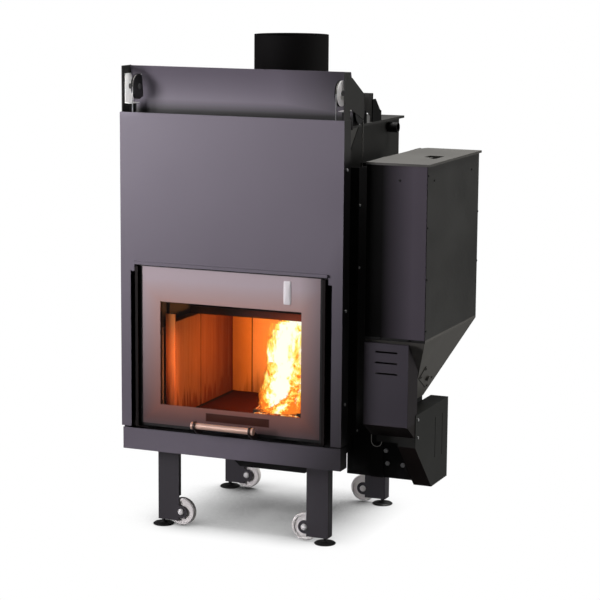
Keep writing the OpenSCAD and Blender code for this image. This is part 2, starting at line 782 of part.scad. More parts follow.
// Hearth slab, two bricks on each side and four at the back. The left front brick reaches out
// through the mouth, with a thin lip on top; the right one starts behind the pot's front.
joint_y = body_y + 170;
brick_front = mouth_y + 6;
lip_t = 5;
lip_h = 26;
back_split = [0, 75, 212, 349, 424];
module firebox_bricks() place() color(brick_colour) {
    brick_in = fire_x + brick_t;
    brick_z = hearth_z + seam;
    back_y = fire_back - brick_t;
    back_w = facade_w - 2 * brick_in;
    difference() {
        block([fire_x, body_y + shell_t + 1, fire_z], [facade_w - fire_x, fire_back, hearth_z]);
        rod_z(feed_r + slip, fire_z - cut, hearth_z + cut, riser_x, feed_y);
    }
    side_outline(fire_x, brick_in, [[brick_front, mouth_z + seam], [body_y + shell_t + 1, mouth_z + seam],
        [body_y + shell_t + 1, brick_z], [joint_y, brick_z], [joint_y, brick_top], [brick_front + lip_t, brick_top],
        [brick_front + lip_t, brick_top + lip_h], [brick_front, brick_top + lip_h]]);
    right_hand() block([fire_x, body_y + 46, brick_z], [brick_in, joint_y, brick_top]);
    both_ends() block([fire_x, joint_y + brick_gap, brick_z], [brick_in, fire_back, brick_top]);
    for (i = [0 : 3]) block([brick_in + back_w * back_split[i] / 424 + brick_gap / 2, back_y, brick_z],
        [brick_in + back_w * back_split[i + 1] / 424 - brick_gap / 2, fire_back, brick_top]);
}

module smoke_baffle() place() color(black)
    block([fire_x + 3, fire_back - 3 - baffle_d, brick_top], [facade_w - fire_x - 3, fire_back - 3,
        brick_top + baffle_t]);

// Open pot that the feed tube fills from below, with air holes in its sides
hole_n = 6;
module burner_pot() place() color(black)
    difference() {
        block([pot_x, pot_y, hearth_z], [pot_x + pot_l, pot_y + pot_w, hearth_z + pot_h]);
        block([pot_x + 6, pot_y + 6, hearth_z + 5], [pot_x + pot_l - 6, pot_y + pot_w - 6, hearth_z + pot_h + cut]);
        rod_z(feed_r - feed_t, hearth_z - cut, hearth_z + 5 + cut, riser_x, feed_y);
        for (i = [1 : hole_n]) rod_x(3, pot_x - cut, pot_x + pot_l + cut, pot_y + i * pot_w / (hole_n + 1),
            hearth_z + pot_h / 2 + 3);
    }

module top_plate() place() color(black)
    difference() {
        block([body_x - top_over, body_y - 2, panel_top], [wall_x + top_over, body_back + top_over_back, top_z]);
        rod_z(flue_r, panel_top - cut, top_z + cut, mid_w, flue_y);
    }

module flue_collar() place() color(black)
    difference() {
        union() {
            rod_z(flue_r + flue_t, top_z, top_z + flue_h, mid_w, flue_y, $fn = 128);
            rod_z(flue_r + 22, top_z, top_z + 4, mid_w, flue_y, $fn = 128);
        }
        rod_z(flue_r, top_z - cut, top_z + flue_h + cut, mid_w, flue_y, $fn = 128);
    }

// Casing sheets on both sides and the back
module side_casing() side_outline(body_x, jacket_x, [[side_panel_y, body_z], [body_back, body_z],
    [body_back, panel_top], [side_panel_y + chamfer, panel_top], [side_panel_y, panel_top - chamfer]]);
module casing_panels() place() color(side_grey) {
    side_casing();
    difference() {
        right_hand() side_casing();
        for (p = sockets) rod_x(socket_r, wall_x - casing_t - cut, wall_x + cut, p[0], p[1]);
        rod_x(feed_r + slip, wall_x - casing_t - cut, wall_x + cut, feed_y, feed_z);
    }
    block([jacket_x + seam, jacket_back, body_z], [facade_w - jacket_x - seam, body_back, panel_top]);
}

// Threaded pipe sockets on the right: flow at the top and return at the bottom
module water_sockets() place() color(black)
    for (p = sockets) difference() {
        rod_x(socket_r, facade_w - jacket_x, facade_w - jacket_x + socket_l, p[0], p[1]);
        rod_x(socket_bore, facade_w - jacket_x - cut, facade_w - jacket_x + socket_l + cut, p[0], p[1]);
    }

// Combustion air box under the firebox
air_l = 280;
module air_box() place() color(black)
    difference() {
        air_form(0);
        air_form(2);
    }
module air_form(d)
    translate([mid_w + 62, body_y + 140 + air_l - d, body_z]) rotate([90, 0, 0]) linear_extrude(air_l - 2 * d)
        polygon([[d - 139, min(d, 1)], [d - 139, -49], [d - 112, d - 73], [126 - d, d - 73],
            [140 - d, -56], [140 - d, min(d, 1)]]);

// One leg: a folded plate with a rounded ear for the wheel, a top flange and a foot plate
module leg()
    difference() {
        union() {
            block([0, 0, leg_z], [leg_w, leg_t, body_z]);
            block([0, 0, leg_z], [leg_t, leg_d, body_z]);
            block([leg_w - leg_t, 0, leg_z + 86], [leg_w, leg_lip, body_z]);
            block([0, 0, leg_z], [36, leg_d, leg_z + 5]);
            block([leg_w - cut, 0, wheel_z - ear_r], [wheel_x, leg_t, wheel_z + ear_r]);
            rod_y(ear_r, 0, leg_t, wheel_x, wheel_z);
            block([0, 0, body_z - 5], [leg_w, leg_d, body_z]);
        }
        rod_y(wheel_axle_r, -cut, leg_t + cut, wheel_x, wheel_z);
        rod_z(stud_r + run, leg_z - cut, leg_z + 5 + cut, foot_x - leg_x, foot_dy);
    }
module legs() place() color(black)
    for (y = [leg_y, leg_y + leg_pitch]) both_ends() translate([leg_x, y, 0]) leg();

module wheel(y) translate([leg_x + wheel_x, y + leg_t + 1, wheel_z])
    rotate([-90, 0, 0]) difference() {
        rotate_extrude($fn = 96) polygon([[wheel_axle_r + run, 0], [13, 0], [13, 3], [wheel_r - 9, 3], [wheel_r - 9, 0],
            [wheel_r - 3, 0], [wheel_r, 3], [wheel_r, wheel_w - 3], [wheel_r - 3, wheel_w], [wheel_r - 9, wheel_w],
            [wheel_r - 9, wheel_w - 3], [13, wheel_w - 3], [13, wheel_w], [wheel_axle_r + run, wheel_w]]);
    }
module wheel_front_left() place() color("white") wheel(leg_y);
module wheel_front_right() place() color("white") right_hand() wheel(leg_y);
module wheel_rear_left() place() color("white") wheel(leg_y + leg_pitch);
module wheel_rear_right() place() color("white") right_hand() wheel(leg_y + leg_pitch);

// A disc with a domed hub, a lock nut and a stud
module foot(y) translate([foot_x, y + foot_dy, 0]) {
    rotate_extrude() polygon([[0, 0], [foot_r - 2, 0], [foot_r, 2], [foot_r, 3], [foot_r - 4, foot_t],
        [14, foot_t + 2], [10, foot_t + 6], [0, foot_t + 6]]);
    cylinder(r = stud_r, h = foot_t + stud_l);
}
module foot_front_left() place() color(black) foot(leg_y);
module foot_front_right() place() color(black) right_hand() foot(leg_y);
module foot_rear_left() place() color(black) foot(leg_y + leg_pitch);
module foot_rear_right() place() color(black) right_hand() foot(leg_y + leg_pitch);

// Side and back walls of the hopper, with hinge leaves, pins and four wall brackets on the left wall
hinge_n = [0.18, 0.82];
arm_w = 40;
arm_h = 39;
arm_t = 3;
module hopper_shell() place() color(side_grey) {
    block([hop_x, hopper_y + 1, hopper_z], [hop_x + hopper_t, hop_back, hop_top]);
    block([hop_right - hopper_t, hopper_y, hopper_z], [hop_right, hop_back, hop_top]);
    block([hop_x, hop_back - hopper_t, hopper_z], [hop_right, hop_back, hop_top]);
    for (k = hinge_n) translate([0, hopper_y + k * hopper_d, 0]) {
        rod_y(hinge_pin, 0, 90, hinge_x, hinge_z);
        rod_y(hinge_r - 0.5, 0, 44, hinge_x, hinge_z);
        block([hinge_x, 0, hinge_z - 30], [hop_x, 44, hinge_z - 2]);
    }
    for (y = [380, 470], z = [hopper_z + 42, hopper_z + 432]) {
        block([wall_x, y, z], [wall_x + arm_t, y + arm_w, z + arm_h]);
        block([wall_x, y, z + arm_h - arm_t], [hop_x, y + arm_w, z + arm_h]);
        block([hop_x - arm_t, y, z], [hop_x, y + arm_w, z + arm_h]);
    }
}

module hopper_front() place() color(paint)
    block([hop_x, hopper_y - 2, hopper_z], [hop_right - 1.5, hopper_y - 0.2, hop_top]);

// Lid with a lip all round, a clipped corner, a grip cup and two hinge knuckles
grip_x = lid_right - 45 - grip_w;
grip_y = (hopper_y + hop_back) / 2 - grip_l / 2 - 34;
module lid_outline(d) polygon([[lid_x + d, lid_front + d], [lid_right - d, lid_front + d],
    [lid_right - d, lid_back - d], [lid_x + 20, lid_back - d], [lid_x + d, lid_back - 46]]);
module hopper_lid() place() color(side_grey) {
    difference() {
        translate([0, 0, hop_top + slip]) linear_extrude(lid_lip - slip) lid_outline(0);
        translate([0, 0, hop_top - cut]) linear_extrude(lid_lip + cut - lid_t) lid_outline(1.5);
        block([grip_x, grip_y, hop_top - cut], [grip_x + grip_w, grip_y + grip_l, lid_z + cut]);
    }
    difference() {
        block([grip_x - 1.5, grip_y - 1.5, lid_z - grip_d], [grip_x + grip_w + 1.5, grip_y + grip_l + 1.5, lid_z - 1]);
        block([grip_x, grip_y, lid_z - grip_d + 1.5], [grip_x + grip_w, grip_y + grip_l, lid_z + cut]);
    }
    block([grip_x, grip_y, lid_z - 2], [grip_x + grip_w - 20, grip_y + grip_l / 2 - 10, lid_z]);
    for (k = hinge_n) translate([0, hopper_y + k * hopper_d, 0]) difference() {
        union() {
            rod_y(hinge_r, 44.5, 88, hinge_x, hinge_z);
            block([hinge_x, 44.5, hinge_z], [lid_x + 1, 88, hinge_z + hinge_r]);
        }
        rod_y(hinge_pin + run, 44, 89, hinge_x, hinge_z);
    }
}

// Four sloped walls from the hopper down to the square neck
module funnel_form(t) hull() {
    block([hop_x + t, hopper_y + t, hopper_z - funnel_edge], [hop_right - t, hop_back - t, hopper_z]);
    block([neck_x + t, neck_y + t, neck_z], [neck_right - t, neck_back_y - t, neck_z + 1]);
}
module hopper_funnel() place() color(side_grey)
    difference() {
        funnel_form(0);
        funnel_form(2);
        block([hop_x + 2, hopper_y + 2, hopper_z - 2], [hop_right - 2, hop_back - 2, hopper_z + cut]);
        block([neck_x + 2, neck_y + 2, neck_z - cut], [neck_right - 2, neck_back_y - 2, neck_z + 2]);
    }

// Bolted inspection plate on the funnel's right wall, with a small knob
slope_h = funnel_h - funnel_edge;
lean = atan2(hop_right - neck_right, slope_h);
module funnel_hatch() place() color(black)
    translate([neck_right + (hop_right - neck_right) * 0.345, neck_y + 12, neck_z + slope_h * 0.345])
        rotate([0, lean, 0]) rotate([-24, 0, 0]) {
            block([0, -80, -24], [3, 80, 24]);
            for (y = [-70, 70], z = [-16, 16]) rod_x(4, 3, 6.5, y, z);
            rod_x(9, 3, 12, 10, 0);
        }

// Feed tube from the drop chute under the neck to the burner pot, where it turns up
module auger_tube() place() color(black)
    difference() {
        union() {
            rod_x(feed_r, riser_x - feed_r, cover_x - plate_t, feed_y, feed_z);
            rod_z(feed_r, feed_z, hearth_z, riser_x, feed_y);
            block([neck_x, neck_y, feed_z], [cover_x - plate_t, neck_back_y, neck_z]);
        }
        rod_x(feed_r - feed_t, riser_x - feed_r + feed_t, cover_x - plate_t + cut, feed_y, feed_z);
        rod_z(feed_r - feed_t, feed_z, hearth_z + cut, riser_x, feed_y);
        block([neck_x + 3, neck_y + 3, feed_z + 3], [cover_x - plate_t - 3, neck_back_y - 3, neck_z + cut]);
    }

// Screw flight as one swept strip round the shaft
screw_x = riser_x - 20;
screw_end = cover_x - plate_t - 8;
flight_t = 4;
flight_n = 20;
function flight_ring(i) = let (a = i * 360 / flight_n, x = screw_x + 4 + i * screw_pitch / flight_n)
    [for (p = [[screw_shaft - 2, 0], [screw_r, 0], [screw_r, flight_t], [screw_shaft - 2, flight_t]])
        [x + p[1], feed_y + p[0] * cos(a), feed_z + p[0] * sin(a)]];
module flight() {
    rings = floor((screw_end - screw_x - 8 - flight_t) / screw_pitch * flight_n);
    points = [for (i = [0 : rings]) each flight_ring(i)];
    sides = [for (i = [0 : rings - 1], k = [0 : 3]) let (a = i * 4 + k, b = i * 4 + (k + 1) % 4)
        each [[a, b, b + 4], [a, b + 4, a + 4]]];
    ends = [[3, 2, 1], [3, 1, 0], [rings * 4, rings * 4 + 1, rings * 4 + 2],
        [rings * 4, rings * 4 + 2, rings * 4 + 3]];
    polyhedron(points, concat(sides, ends));
}
module feed_auger() place() color(steel) {
    rod_x(screw_shaft, screw_x, cover_x + 12, feed_y, feed_z);
    flight();
}

// Gear motor of the screw and the fan's motor, both on the burner plate
module drive_motors() place() color(black) {
    difference() {
        block([cover_x, feed_y - 38, feed_z - 16], [cover_x + 22, feed_y + 38, feed_z + 56]);
        rod_x(screw_shaft + run, cover_x - cut, cover_x + 16, feed_y, feed_z);
    }
    rod_x(24, cover_x + 22, cover_right - cover_t - 4, feed_y, feed_z + 26);
    difference() {
        union() {
            rod_x(24, cover_x + fan_case_w + 3, cover_right - cover_t - 4, fan_y, fan_z);
            rod_x(14, cover_x + fan_case_w - 2, cover_x + fan_case_w + 3, fan_y, fan_z);
        }
        rod_x(4 + run, cover_x + fan_case_w - 2 - cut, cover_x + fan_case_w + 18, fan_y, fan_z);
    }
}

// Folded cover with slots in front and a slope below
module louvered_cover() place() color(paint) {
    vent_t = 2;
    louver_x = vent_x + 39;
    vent_slope = vent_drop / (vent_back - vent_y);
    difference() {
        side_outline(vent_x, vent_right, [[vent_y, vent_low], [vent_back, vent_low - vent_drop],
            [vent_back + 2, vent_low - vent_drop], [vent_back + 2, cover_z + 2], [vent_back + 20, cover_z + 2],
            [vent_back + 20, vent_z - 97], [hopper_y, vent_z - 2], [hopper_y, vent_z], [vent_y, vent_z]]);
        side_outline(vent_x + vent_t, vent_right - vent_t, [[vent_y + vent_t, vent_low + 1],
            [vent_back + 30, vent_low + 1 - (vent_back + 28 - vent_y) * vent_slope],
            [vent_back + 30, vent_z - vent_t], [vent_y + vent_t, vent_z - vent_t]]);
        for (i = [0 : slot_n - 1]) translate([0, 0, vent_z - 31 - i * slot_pitch])
            block([louver_x, vent_y - cut, 0], [louver_x + slot_l, vent_y + vent_t + cut, slot_h]);
    }
}

module feeder_tray() place() color(side_grey) {
    block([vent_x + 20, vent_back, tray_z], [vent_right, vent_back + 2, tray_z + 22]);
    block([vent_x + 20, vent_back, tray_z], [cover_x - plate_t, neck_y, tray_z + 2]);
    block([vent_x + 20, vent_back, tray_z], [vent_x + 22, neck_y, tray_z + 14]);
}

function cover_outline(d) = [[cover_y + d, cover_z - d], [cover_back - d, cover_z - d],
    [cover_back - d, cover_low + d], [cover_y + cover_slope + d * 0.4, cover_low + d],
    [cover_y + d, cover_low + cover_slope + d * 0.4]];
module burner_cover() place() color(side_grey)
    difference() {
        side_outline(cover_x, cover_right, cover_outline(0));
        side_outline(cover_x - cut, cover_right - cover_t, cover_outline(cover_t));
        for (i = [0, 1]) block([cover_right - cover_t - cut, cover_back - 132 + i * 72, cover_z - 182 - i * 5],
            [cover_right + cut, cover_back - 128 + i * 72, cover_z - 45]);
    }

// Plate behind the burner cover, with the fan's scroll on it
module burner_plate() place() color(black) {
    difference() {
        side_outline(cover_x - plate_t, cover_x, cover_outline(0));
        rod_x(screw_shaft + run, cover_x - plate_t - cut, cover_x + cut, feed_y, feed_z);
        rod_x(fan_r - 14, cover_x - plate_t - cut, cover_x + cut, fan_y, fan_z);
    }
    difference() {
        rod_x(fan_case_r, cover_x, cover_x + fan_case_w, fan_y, fan_z);
        rod_x(fan_case_r - 2, cover_x - cut, cover_x + fan_case_w - 2, fan_y, fan_z);
        difference() {
            rod_x(36, cover_x + fan_case_w - 2 - cut, cover_x + fan_case_w + cut, fan_y, fan_z);
            for (a = [0, 120, 240]) translate([0, fan_y, fan_z]) rotate([a, 0, 0])
                block([cover_x, -4, 0], [cover_x + fan_case_w + 2, 4, 40]);
        }
        rod_x(14, cover_x, cover_x + fan_case_w + cut, fan_y, fan_z);
    }
}

// Welded air box that carries the burner, hung under the boiler's right edge
module burner_console() place() color(black) {
    difference() {
        translate([0, console_back, 0]) rotate([90, 0, 0]) linear_extrude(console_back - console_y)
            polygon([[wall_x - 16, console_z], [cover_x - plate_t, console_z], [cover_x - plate_t, console_top],
                [wall_x + 2, console_top], [wall_x + 2, body_z], [wall_x - 16, body_z]]);
        block([wall_x + 2 + console_t, console_y + console_t, console_z + console_t],
            [cover_x - plate_t + cut, console_back - console_t, console_top - console_t]);
        rod_x(feed_r + slip, wall_x + 2 - cut, wall_x + 2 + console_t + cut, feed_y, feed_z);
        block([neck_x - slip, console_y - cut, feed_z],
            [cover_x - plate_t + cut, neck_back_y + slip, console_top + cut]);
    }
    block([wall_x + 72, console_y - 6, console_z], [wall_x + 115, console_y, console_z + 112]);
}

module fan_impeller() place() color(steel)
    translate([cover_x + 3, fan_y, fan_z]) {
        rod_x(4, 2, fan_case_w + 12, 0, 0);
        rod_x(12, 0, fan_w, 0, 0);
        rod_x(fan_r, 0, 2, 0, 0);
        for (i = [0 : fan_n - 1]) rotate([i * 360 / fan_n, 0, 0])
            block([0, -0.8, fan_r - 16], [fan_w, 0.8, fan_r - 0.5]);
    }

// Thin lead hanging in a small loop between the louvered cover and the tray
lead_r = 1.2;
lead_bend = 18;
module sensor_lead() place() color("white")
    translate([vent_x + 1, vent_back + 2 + lead_r, tray_z]) {
        rod_z(lead_r, 0, 32, 0, 0);
        translate([lead_bend, 0, 0]) rotate([-90, 0, 0])
            rotate_extrude(angle = 180) translate([lead_bend, 0]) circle(r = lead_r, $fn = 16);
    }

// Round screw heads and hex bolts
frame_screw_r = 5;
channel_screw_r = 4;
hopper_screw_r = 3.5;
cover_screw_r = 4.5;
bolt_r = 8;
bolt_h = 6;
module screws() place() color(steel) {
    for (k = [0.13, 0.42, 0.85]) both_ends()
        rod_x(frame_screw_r, -screw_head, 0, return_d / 2, facade_z + k * facade_h);
    for (k = [0.006, 0.6235, 0.856]) both_ends()
        rod_x(channel_screw_r, body_x - channel_w - 2.5, body_x - channel_w, channel_y + 8,
            channel_z + 4 + k * channel_h);
    for (z = [30, 195, 360, 525]) rod_x(hopper_screw_r, hop_right, hop_right + 2, hopper_y + 6, hopper_z + z);
    for (y = [62, 442]) rod_x(hopper_screw_r, hop_right, hop_right + 2, hopper_y + y, hop_top - 48);
    for (z = [188, 356]) rod_x(hopper_screw_r, hop_right, hop_right + 2, hop_back - 5, hopper_z + z);
    rod_y(hopper_screw_r, hopper_y - 4, hopper_y - 2, hop_x + 110, hop_top - 46);
    for (x = [50, 148]) rod_y(hopper_screw_r, hopper_y - 4, hopper_y, hop_x + x, hopper_z - 4);
    for (z = [cover_z - 18, cover_z - 77]) rod_x(cover_screw_r, cover_right, cover_right + screw_head, cover_y + 22, z);
    for (p = [[wall_x + 124, console_z + 93], [wall_x + 130, console_z + 50], [wall_x + 184, console_z + 49]])
        translate([p[0], console_y, p[1]]) rotate([90, 0, 0]) cylinder(r = bolt_r, h = bolt_h, $fn = 6);
}

facade_panel();
plinth_panel();
front_frame();
head_side_plates();
head_back_panel();
hood_strip();
guide_rails();
pulley_brackets();
front_pulley_left();
front_pulley_right();
rear_pulley_left();
rear_pulley_right();
axle_bolts();
cable_front_runs();
cable_top_runs();
cable_rear_runs();
counterweight_left();
counterweight_right();
counterweight_channels();
door_frame();
door_glass();
door_gasket();
handle_bar();
handle_brackets();
boiler_jacket();
firebox_shell();
exchanger_tubes();
firebox_bricks();
smoke_baffle();
burner_pot();
top_plate();
flue_collar();
casing_panels();
water_sockets();
air_box();
legs();
wheel_front_left();
wheel_front_right();
wheel_rear_left();
wheel_rear_right();
foot_front_left();
foot_front_right();
foot_rear_left();
foot_rear_right();
hopper_shell();
hopper_front();
hopper_lid();
hopper_funnel();
funnel_hatch();
auger_tube();
feed_auger();
drive_motors();
louvered_cover();
feeder_tray();
burner_cover();
burner_plate();
burner_console();
fan_impeller();
sensor_lead();
screws();
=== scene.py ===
"""Boiler fireplace with a rising glass door, a pellet hopper and a burner, over its frame."""
import math

import bpy
import numpy as np
from mathutils import Matrix, Vector


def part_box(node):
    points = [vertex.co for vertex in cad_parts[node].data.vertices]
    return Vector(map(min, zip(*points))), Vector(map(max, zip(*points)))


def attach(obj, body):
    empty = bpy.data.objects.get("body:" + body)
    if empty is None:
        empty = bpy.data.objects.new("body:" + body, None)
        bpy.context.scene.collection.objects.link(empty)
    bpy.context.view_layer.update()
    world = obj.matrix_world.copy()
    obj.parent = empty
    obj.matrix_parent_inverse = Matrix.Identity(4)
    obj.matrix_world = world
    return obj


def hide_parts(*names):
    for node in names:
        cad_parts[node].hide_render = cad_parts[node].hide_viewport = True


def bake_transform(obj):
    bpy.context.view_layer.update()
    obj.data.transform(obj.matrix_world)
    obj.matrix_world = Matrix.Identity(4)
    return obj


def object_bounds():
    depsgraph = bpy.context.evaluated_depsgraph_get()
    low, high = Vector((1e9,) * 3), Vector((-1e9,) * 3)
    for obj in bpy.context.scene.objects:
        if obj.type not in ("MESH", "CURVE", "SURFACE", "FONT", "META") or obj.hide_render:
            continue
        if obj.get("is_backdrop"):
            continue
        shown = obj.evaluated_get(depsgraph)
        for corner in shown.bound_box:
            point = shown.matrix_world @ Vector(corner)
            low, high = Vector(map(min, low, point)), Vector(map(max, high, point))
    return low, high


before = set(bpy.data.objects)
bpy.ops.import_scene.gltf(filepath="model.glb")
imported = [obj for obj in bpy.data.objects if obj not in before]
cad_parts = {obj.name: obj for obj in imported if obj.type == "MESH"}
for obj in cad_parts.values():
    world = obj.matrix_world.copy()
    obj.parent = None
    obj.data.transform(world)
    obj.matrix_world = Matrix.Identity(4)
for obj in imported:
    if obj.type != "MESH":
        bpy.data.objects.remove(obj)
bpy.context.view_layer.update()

# Camera: a long lens a little above eye level, looking from the right of the front.
# Its place, turn and focal length were found from the front panel's and the hopper's corners.
yaw, pitch, roll = math.radians(22.558), math.radians(9.644), math.radians(0.439)
camera_place, focal_length, film_width = (2.6247, -6.35305, 1.9418), 124.07, 36
look = Vector((-math.sin(yaw) * math.cos(pitch), math.cos(yaw) * math.cos(pitch), -math.sin(pitch)))
level = Vector((math.cos(yaw), math.sin(yaw), 0))
rise = level.cross(look)
across = math.cos(roll) * level + math.sin(roll) * rise
upward = math.cos(roll) * rise - math.sin(roll) * level
camera_data = bpy.data.cameras.new("camera")
camera_data.sensor_width = film_width
camera_data.lens = focal_length
camera = bpy.data.objects.new("camera", camera_data)
bpy.context.scene.collection.objects.link(camera)
turned = Matrix((across, upward, -look)).transposed().to_4x4()
camera.matrix_world = Matrix.Translation(camera_place) @ turned
bpy.context.scene.camera = camera

# Studio: a soft lamp far to the left for the front, a narrow one below it for the legs and wheels,
# a pencil beam on the left pulley's bracket, a wide lamp at the right and behind for the hopper's
# side, and one above for the lid.
studio = bpy.context.scene
studio.view_settings.view_transform = "Standard"


def soft_lamp(name, place, target, size, power, colour, spread=180):
    """A rectangular lamp at place that faces target, with its light spread over so many degrees."""
    data = bpy.data.lights.new(name, "AREA")
    data.shape = "RECTANGLE"
    data.size, data.size_y = size
    data.energy = power
    data.color = colour
    data.spread = math.radians(spread)
    lamp = bpy.data.objects.new(name, data)
    lamp.location = place
    lamp.rotation_euler = (Vector(target) - Vector(place)).to_track_quat("-Z", "Y").to_euler()
    studio.collection.objects.link(lamp)
    return lamp


soft_lamp("key_lamp", place=(-3.0, -3.1, 1.9), target=(-0.05, -0.3, 1.55), size=(1.5, 2.0),
          power=27.5, colour=(1.0, 0.97, 1.0), spread=70)
soft_lamp("foot_lamp", place=(-2.2, -3.0, 0.5), target=(-0.1, -0.3, -0.15), size=(0.6, 0.3),
          power=0.55, colour=(1.0, 0.97, 1.0), spread=22)
soft_lamp("bracket_lamp", place=(1.04, -3.98, 1.92), target=(-0.508, -0.292, 1.474),
          size=(0.04, 0.04), power=0.050, colour=(1.0, 1.0, 1.0), spread=2.4)
soft_lamp("side_lamp", place=(4.0, 1.6, 1.25), target=(0.4, 0, 0.9), size=(1.6, 1.4),
          power=62, colour=(1.0, 0.99, 0.96))
soft_lamp("top_lamp", place=(0.5, 0.9, 4.2), target=(0.2, 0, 1.2), size=(2.4, 2.0),
          power=210, colour=(1.0, 0.99, 0.97))

# Floor and background: a white studio floor. The camera sees it white, with a soft grey shadow
# where the object stands close over it, deepest towards its back left; it throws little light back
# up. Its finish, as every later one, is arithmetic on the outputs of nodes.
floor_near, floor_far, floor_half = -9, 30, 9
floor_grey, air_light = (0.10, 0.10, 0.10, 1), 0.10
shadow_reach, darkest, deeper = 0.4, 0.02, 0.3
open_fade, depth_fade = (0.82, 0.22), (-0.1, 0.2)
front_fade, right_fade = (-0.33, -0.17), (0.28, 0.03)


class Value:
    """One output of a node. The operators add Math nodes behind it; a | b is the larger of both."""

    def __init__(self, finish, socket):
        self.finish, self.socket = finish, socket

    def _math(self, operation, a, b):
        return self.finish.node("ShaderNodeMath", {"operation": operation}, {0: a, 1: b})

    def __add__(self, other):
        return self._math("ADD", self, other)

    def __sub__(self, other):
        return self._math("SUBTRACT", self, other)

    def __rsub__(self, other):
        return self._math("SUBTRACT", other, self)

    def __mul__(self, other):
        return self._math("MULTIPLY", self, other)

    def __truediv__(self, other):
        return self._math("DIVIDE", self, other)

    def __pow__(self, other):
        return self._math("POWER", self, other)

    def __gt__(self, other):
        return self._math("GREATER_THAN", self, other)

    def __lt__(self, other):
        return self._math("LESS_THAN", self, other)

    def __or__(self, other):
        return self._math("MAXIMUM", self, other)

    def __abs__(self):
        return self._math("ABSOLUTE", self, 0.0)

    __radd__ = __add__


class Finish:
    """One material: its tree, its shader, and node(), which adds any other node to it. The words
    given with an amount name the shader's own sockets."""

    def __init__(self, name, **uniform):
        self.material = bpy.data.materials.new(name)
        self.material.use_nodes = True
        self.tree = self.material.node_tree
        self.shader = self.tree.nodes["Principled BSDF"]
        for words, amount in uniform.items():
            socket = words.replace("_", " ").title().replace("Ior", "IOR")
            self.shader.inputs[socket].default_value = amount

    def node(self, kind, settings=None, sockets=None, out=0):
        """A node of that kind: its settings first, then the amounts or links of its sockets."""
        made = self.tree.nodes.new(kind)
        for key, setting in (settings or {}).items():
            if key == "stops":
                while len(made.color_ramp.elements) < len(setting):
                    made.color_ramp.elements.new(0.5)
                for element, (place, colour) in zip(made.color_ramp.elements, setting):
                    element.position = place
                    element.color = (*colour, 1)
            else:
                setattr(made, key, setting)
        for key, amount in (sockets or {}).items():
            if isinstance(amount, Value):
                self.tree.links.new(amount.socket, made.inputs[key])
            else:
                made.inputs[key].default_value = amount
        return Value(self, made.outputs[out])

    def feed(self, words, value):
        """Links value to the shader's socket of that name."""
        self.tree.links.new(value.socket, self.shader.inputs[words])

    def place(self, stretch=(1, 1, 1)):
        """The point's own coordinates in metres, stretched along each axis."""
        point = self.node("ShaderNodeTexCoord", out="Object")
        return self.node("ShaderNodeMapping", {}, {"Vector": point, "Scale": stretch})

    def axis(self, name):
        """One of the point's own coordinates, in metres."""
        point = self.node("ShaderNodeTexCoord", out="Object")
        return self.node("ShaderNodeSeparateXYZ", {}, {0: point}, out=name)

    def noise(self, scale, detail=3.0, rough=0.55, stretch=(1, 1, 1)):
        """Cloudy noise between 0 and 1, scale lumps to the metre."""
        return self.node("ShaderNodeTexNoise", {}, {"Vector": self.place(stretch), "Scale": scale,
                                                    "Detail": detail, "Roughness": rough})

    def fade(self, value, start, end):
        """Goes from 0 to 1 while value goes from start to end."""
        return self.node("ShaderNodeMapRange", {"clamp": True},
                         {"Value": value, "From Min": start, "From Max": end})

    def ramp(self, value, stops):
        """The colour at value among stops, which are places from 0 to 1 with their colours."""
        return self.node("ShaderNodeValToRGB", {"stops": stops}, {0: value})

    def blend(self, factor, low, high):
        """A colour that goes from low to high as factor goes from 0 to 1."""
        low, high = ((*c, 1) if isinstance(c, tuple) else c for c in (low, high))
        mixed = {0: factor, 6: low, 7: high}
        return self.node("ShaderNodeMix", {"data_type": "RGBA"}, mixed, out=2)

    def relief(self, height, depth):
        """Lets height, in metres times depth, tilt the surface."""
        self.feed("Normal", self.node("ShaderNodeBump", {}, {"Height": height, "Distance": depth}))

    def cover(self, *names):
        """Gives this finish to the frame's own nodes."""
        for name in names:
            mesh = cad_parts[name].data
            mesh.materials.clear()
            mesh.materials.append(self.material)


floor_mesh = bpy.data.meshes.new("floor")
floor_corners = [(-floor_half, floor_near, 0), (floor_half, floor_near, 0),
                 (floor_half, floor_far, 0), (-floor_half, floor_far, 0)]
floor_mesh.from_pydata(floor_corners, [], [(0, 1, 2, 3)])
floor = bpy.data.objects.new("floor", floor_mesh)
studio.collection.objects.link(floor)
floor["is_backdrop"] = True
floor_finish = Finish("floor_white", Base_Color=floor_grey, Roughness=0.9)
x, y = floor_finish.axis("X"), floor_finish.axis("Y")
seen = floor_finish.node("ShaderNodeLightPath", out="Is Camera Ray")
openness = floor_finish.node("ShaderNodeAmbientOcclusion", {"samples": 16},
                             {"Distance": shadow_reach}, out="AO")
under_it = floor_finish.fade(y, *front_fade) * floor_finish.fade(x, *right_fade)
deeper_behind = 1 + floor_finish.fade(y, *depth_fade) * deeper
shadow = floor_finish.fade(openness, *open_fade) * under_it * deeper_behind
glow = floor_finish.node("ShaderNodeEmission", {},
                         {"Color": (1, 1, 1, 1), "Strength": (1 - shadow) | darkest})
own = Value(floor_finish, floor_finish.shader.outputs[0])
both = floor_finish.node("ShaderNodeMixShader", {}, {0: seen, 1: own, 2: glow})
floor_output = floor_finish.tree.nodes["Material Output"]
floor_finish.tree.links.new(both.socket, floor_output.inputs[0])
floor_mesh.materials.append(floor_finish.material)
world = bpy.data.worlds.new("studio_air")
world.use_nodes = True
studio.world = world
air, links = world.node_tree.nodes, world.node_tree.links
path = air.new("ShaderNodeLightPath")
either = air.new("ShaderNodeMath")
either.operation = "MAXIMUM"
links.new(path.outputs["Is Camera Ray"], either.inputs[0])
links.new(path.outputs["Is Transmission Ray"], either.inputs[1])
strength = air.new("ShaderNodeMapRange")
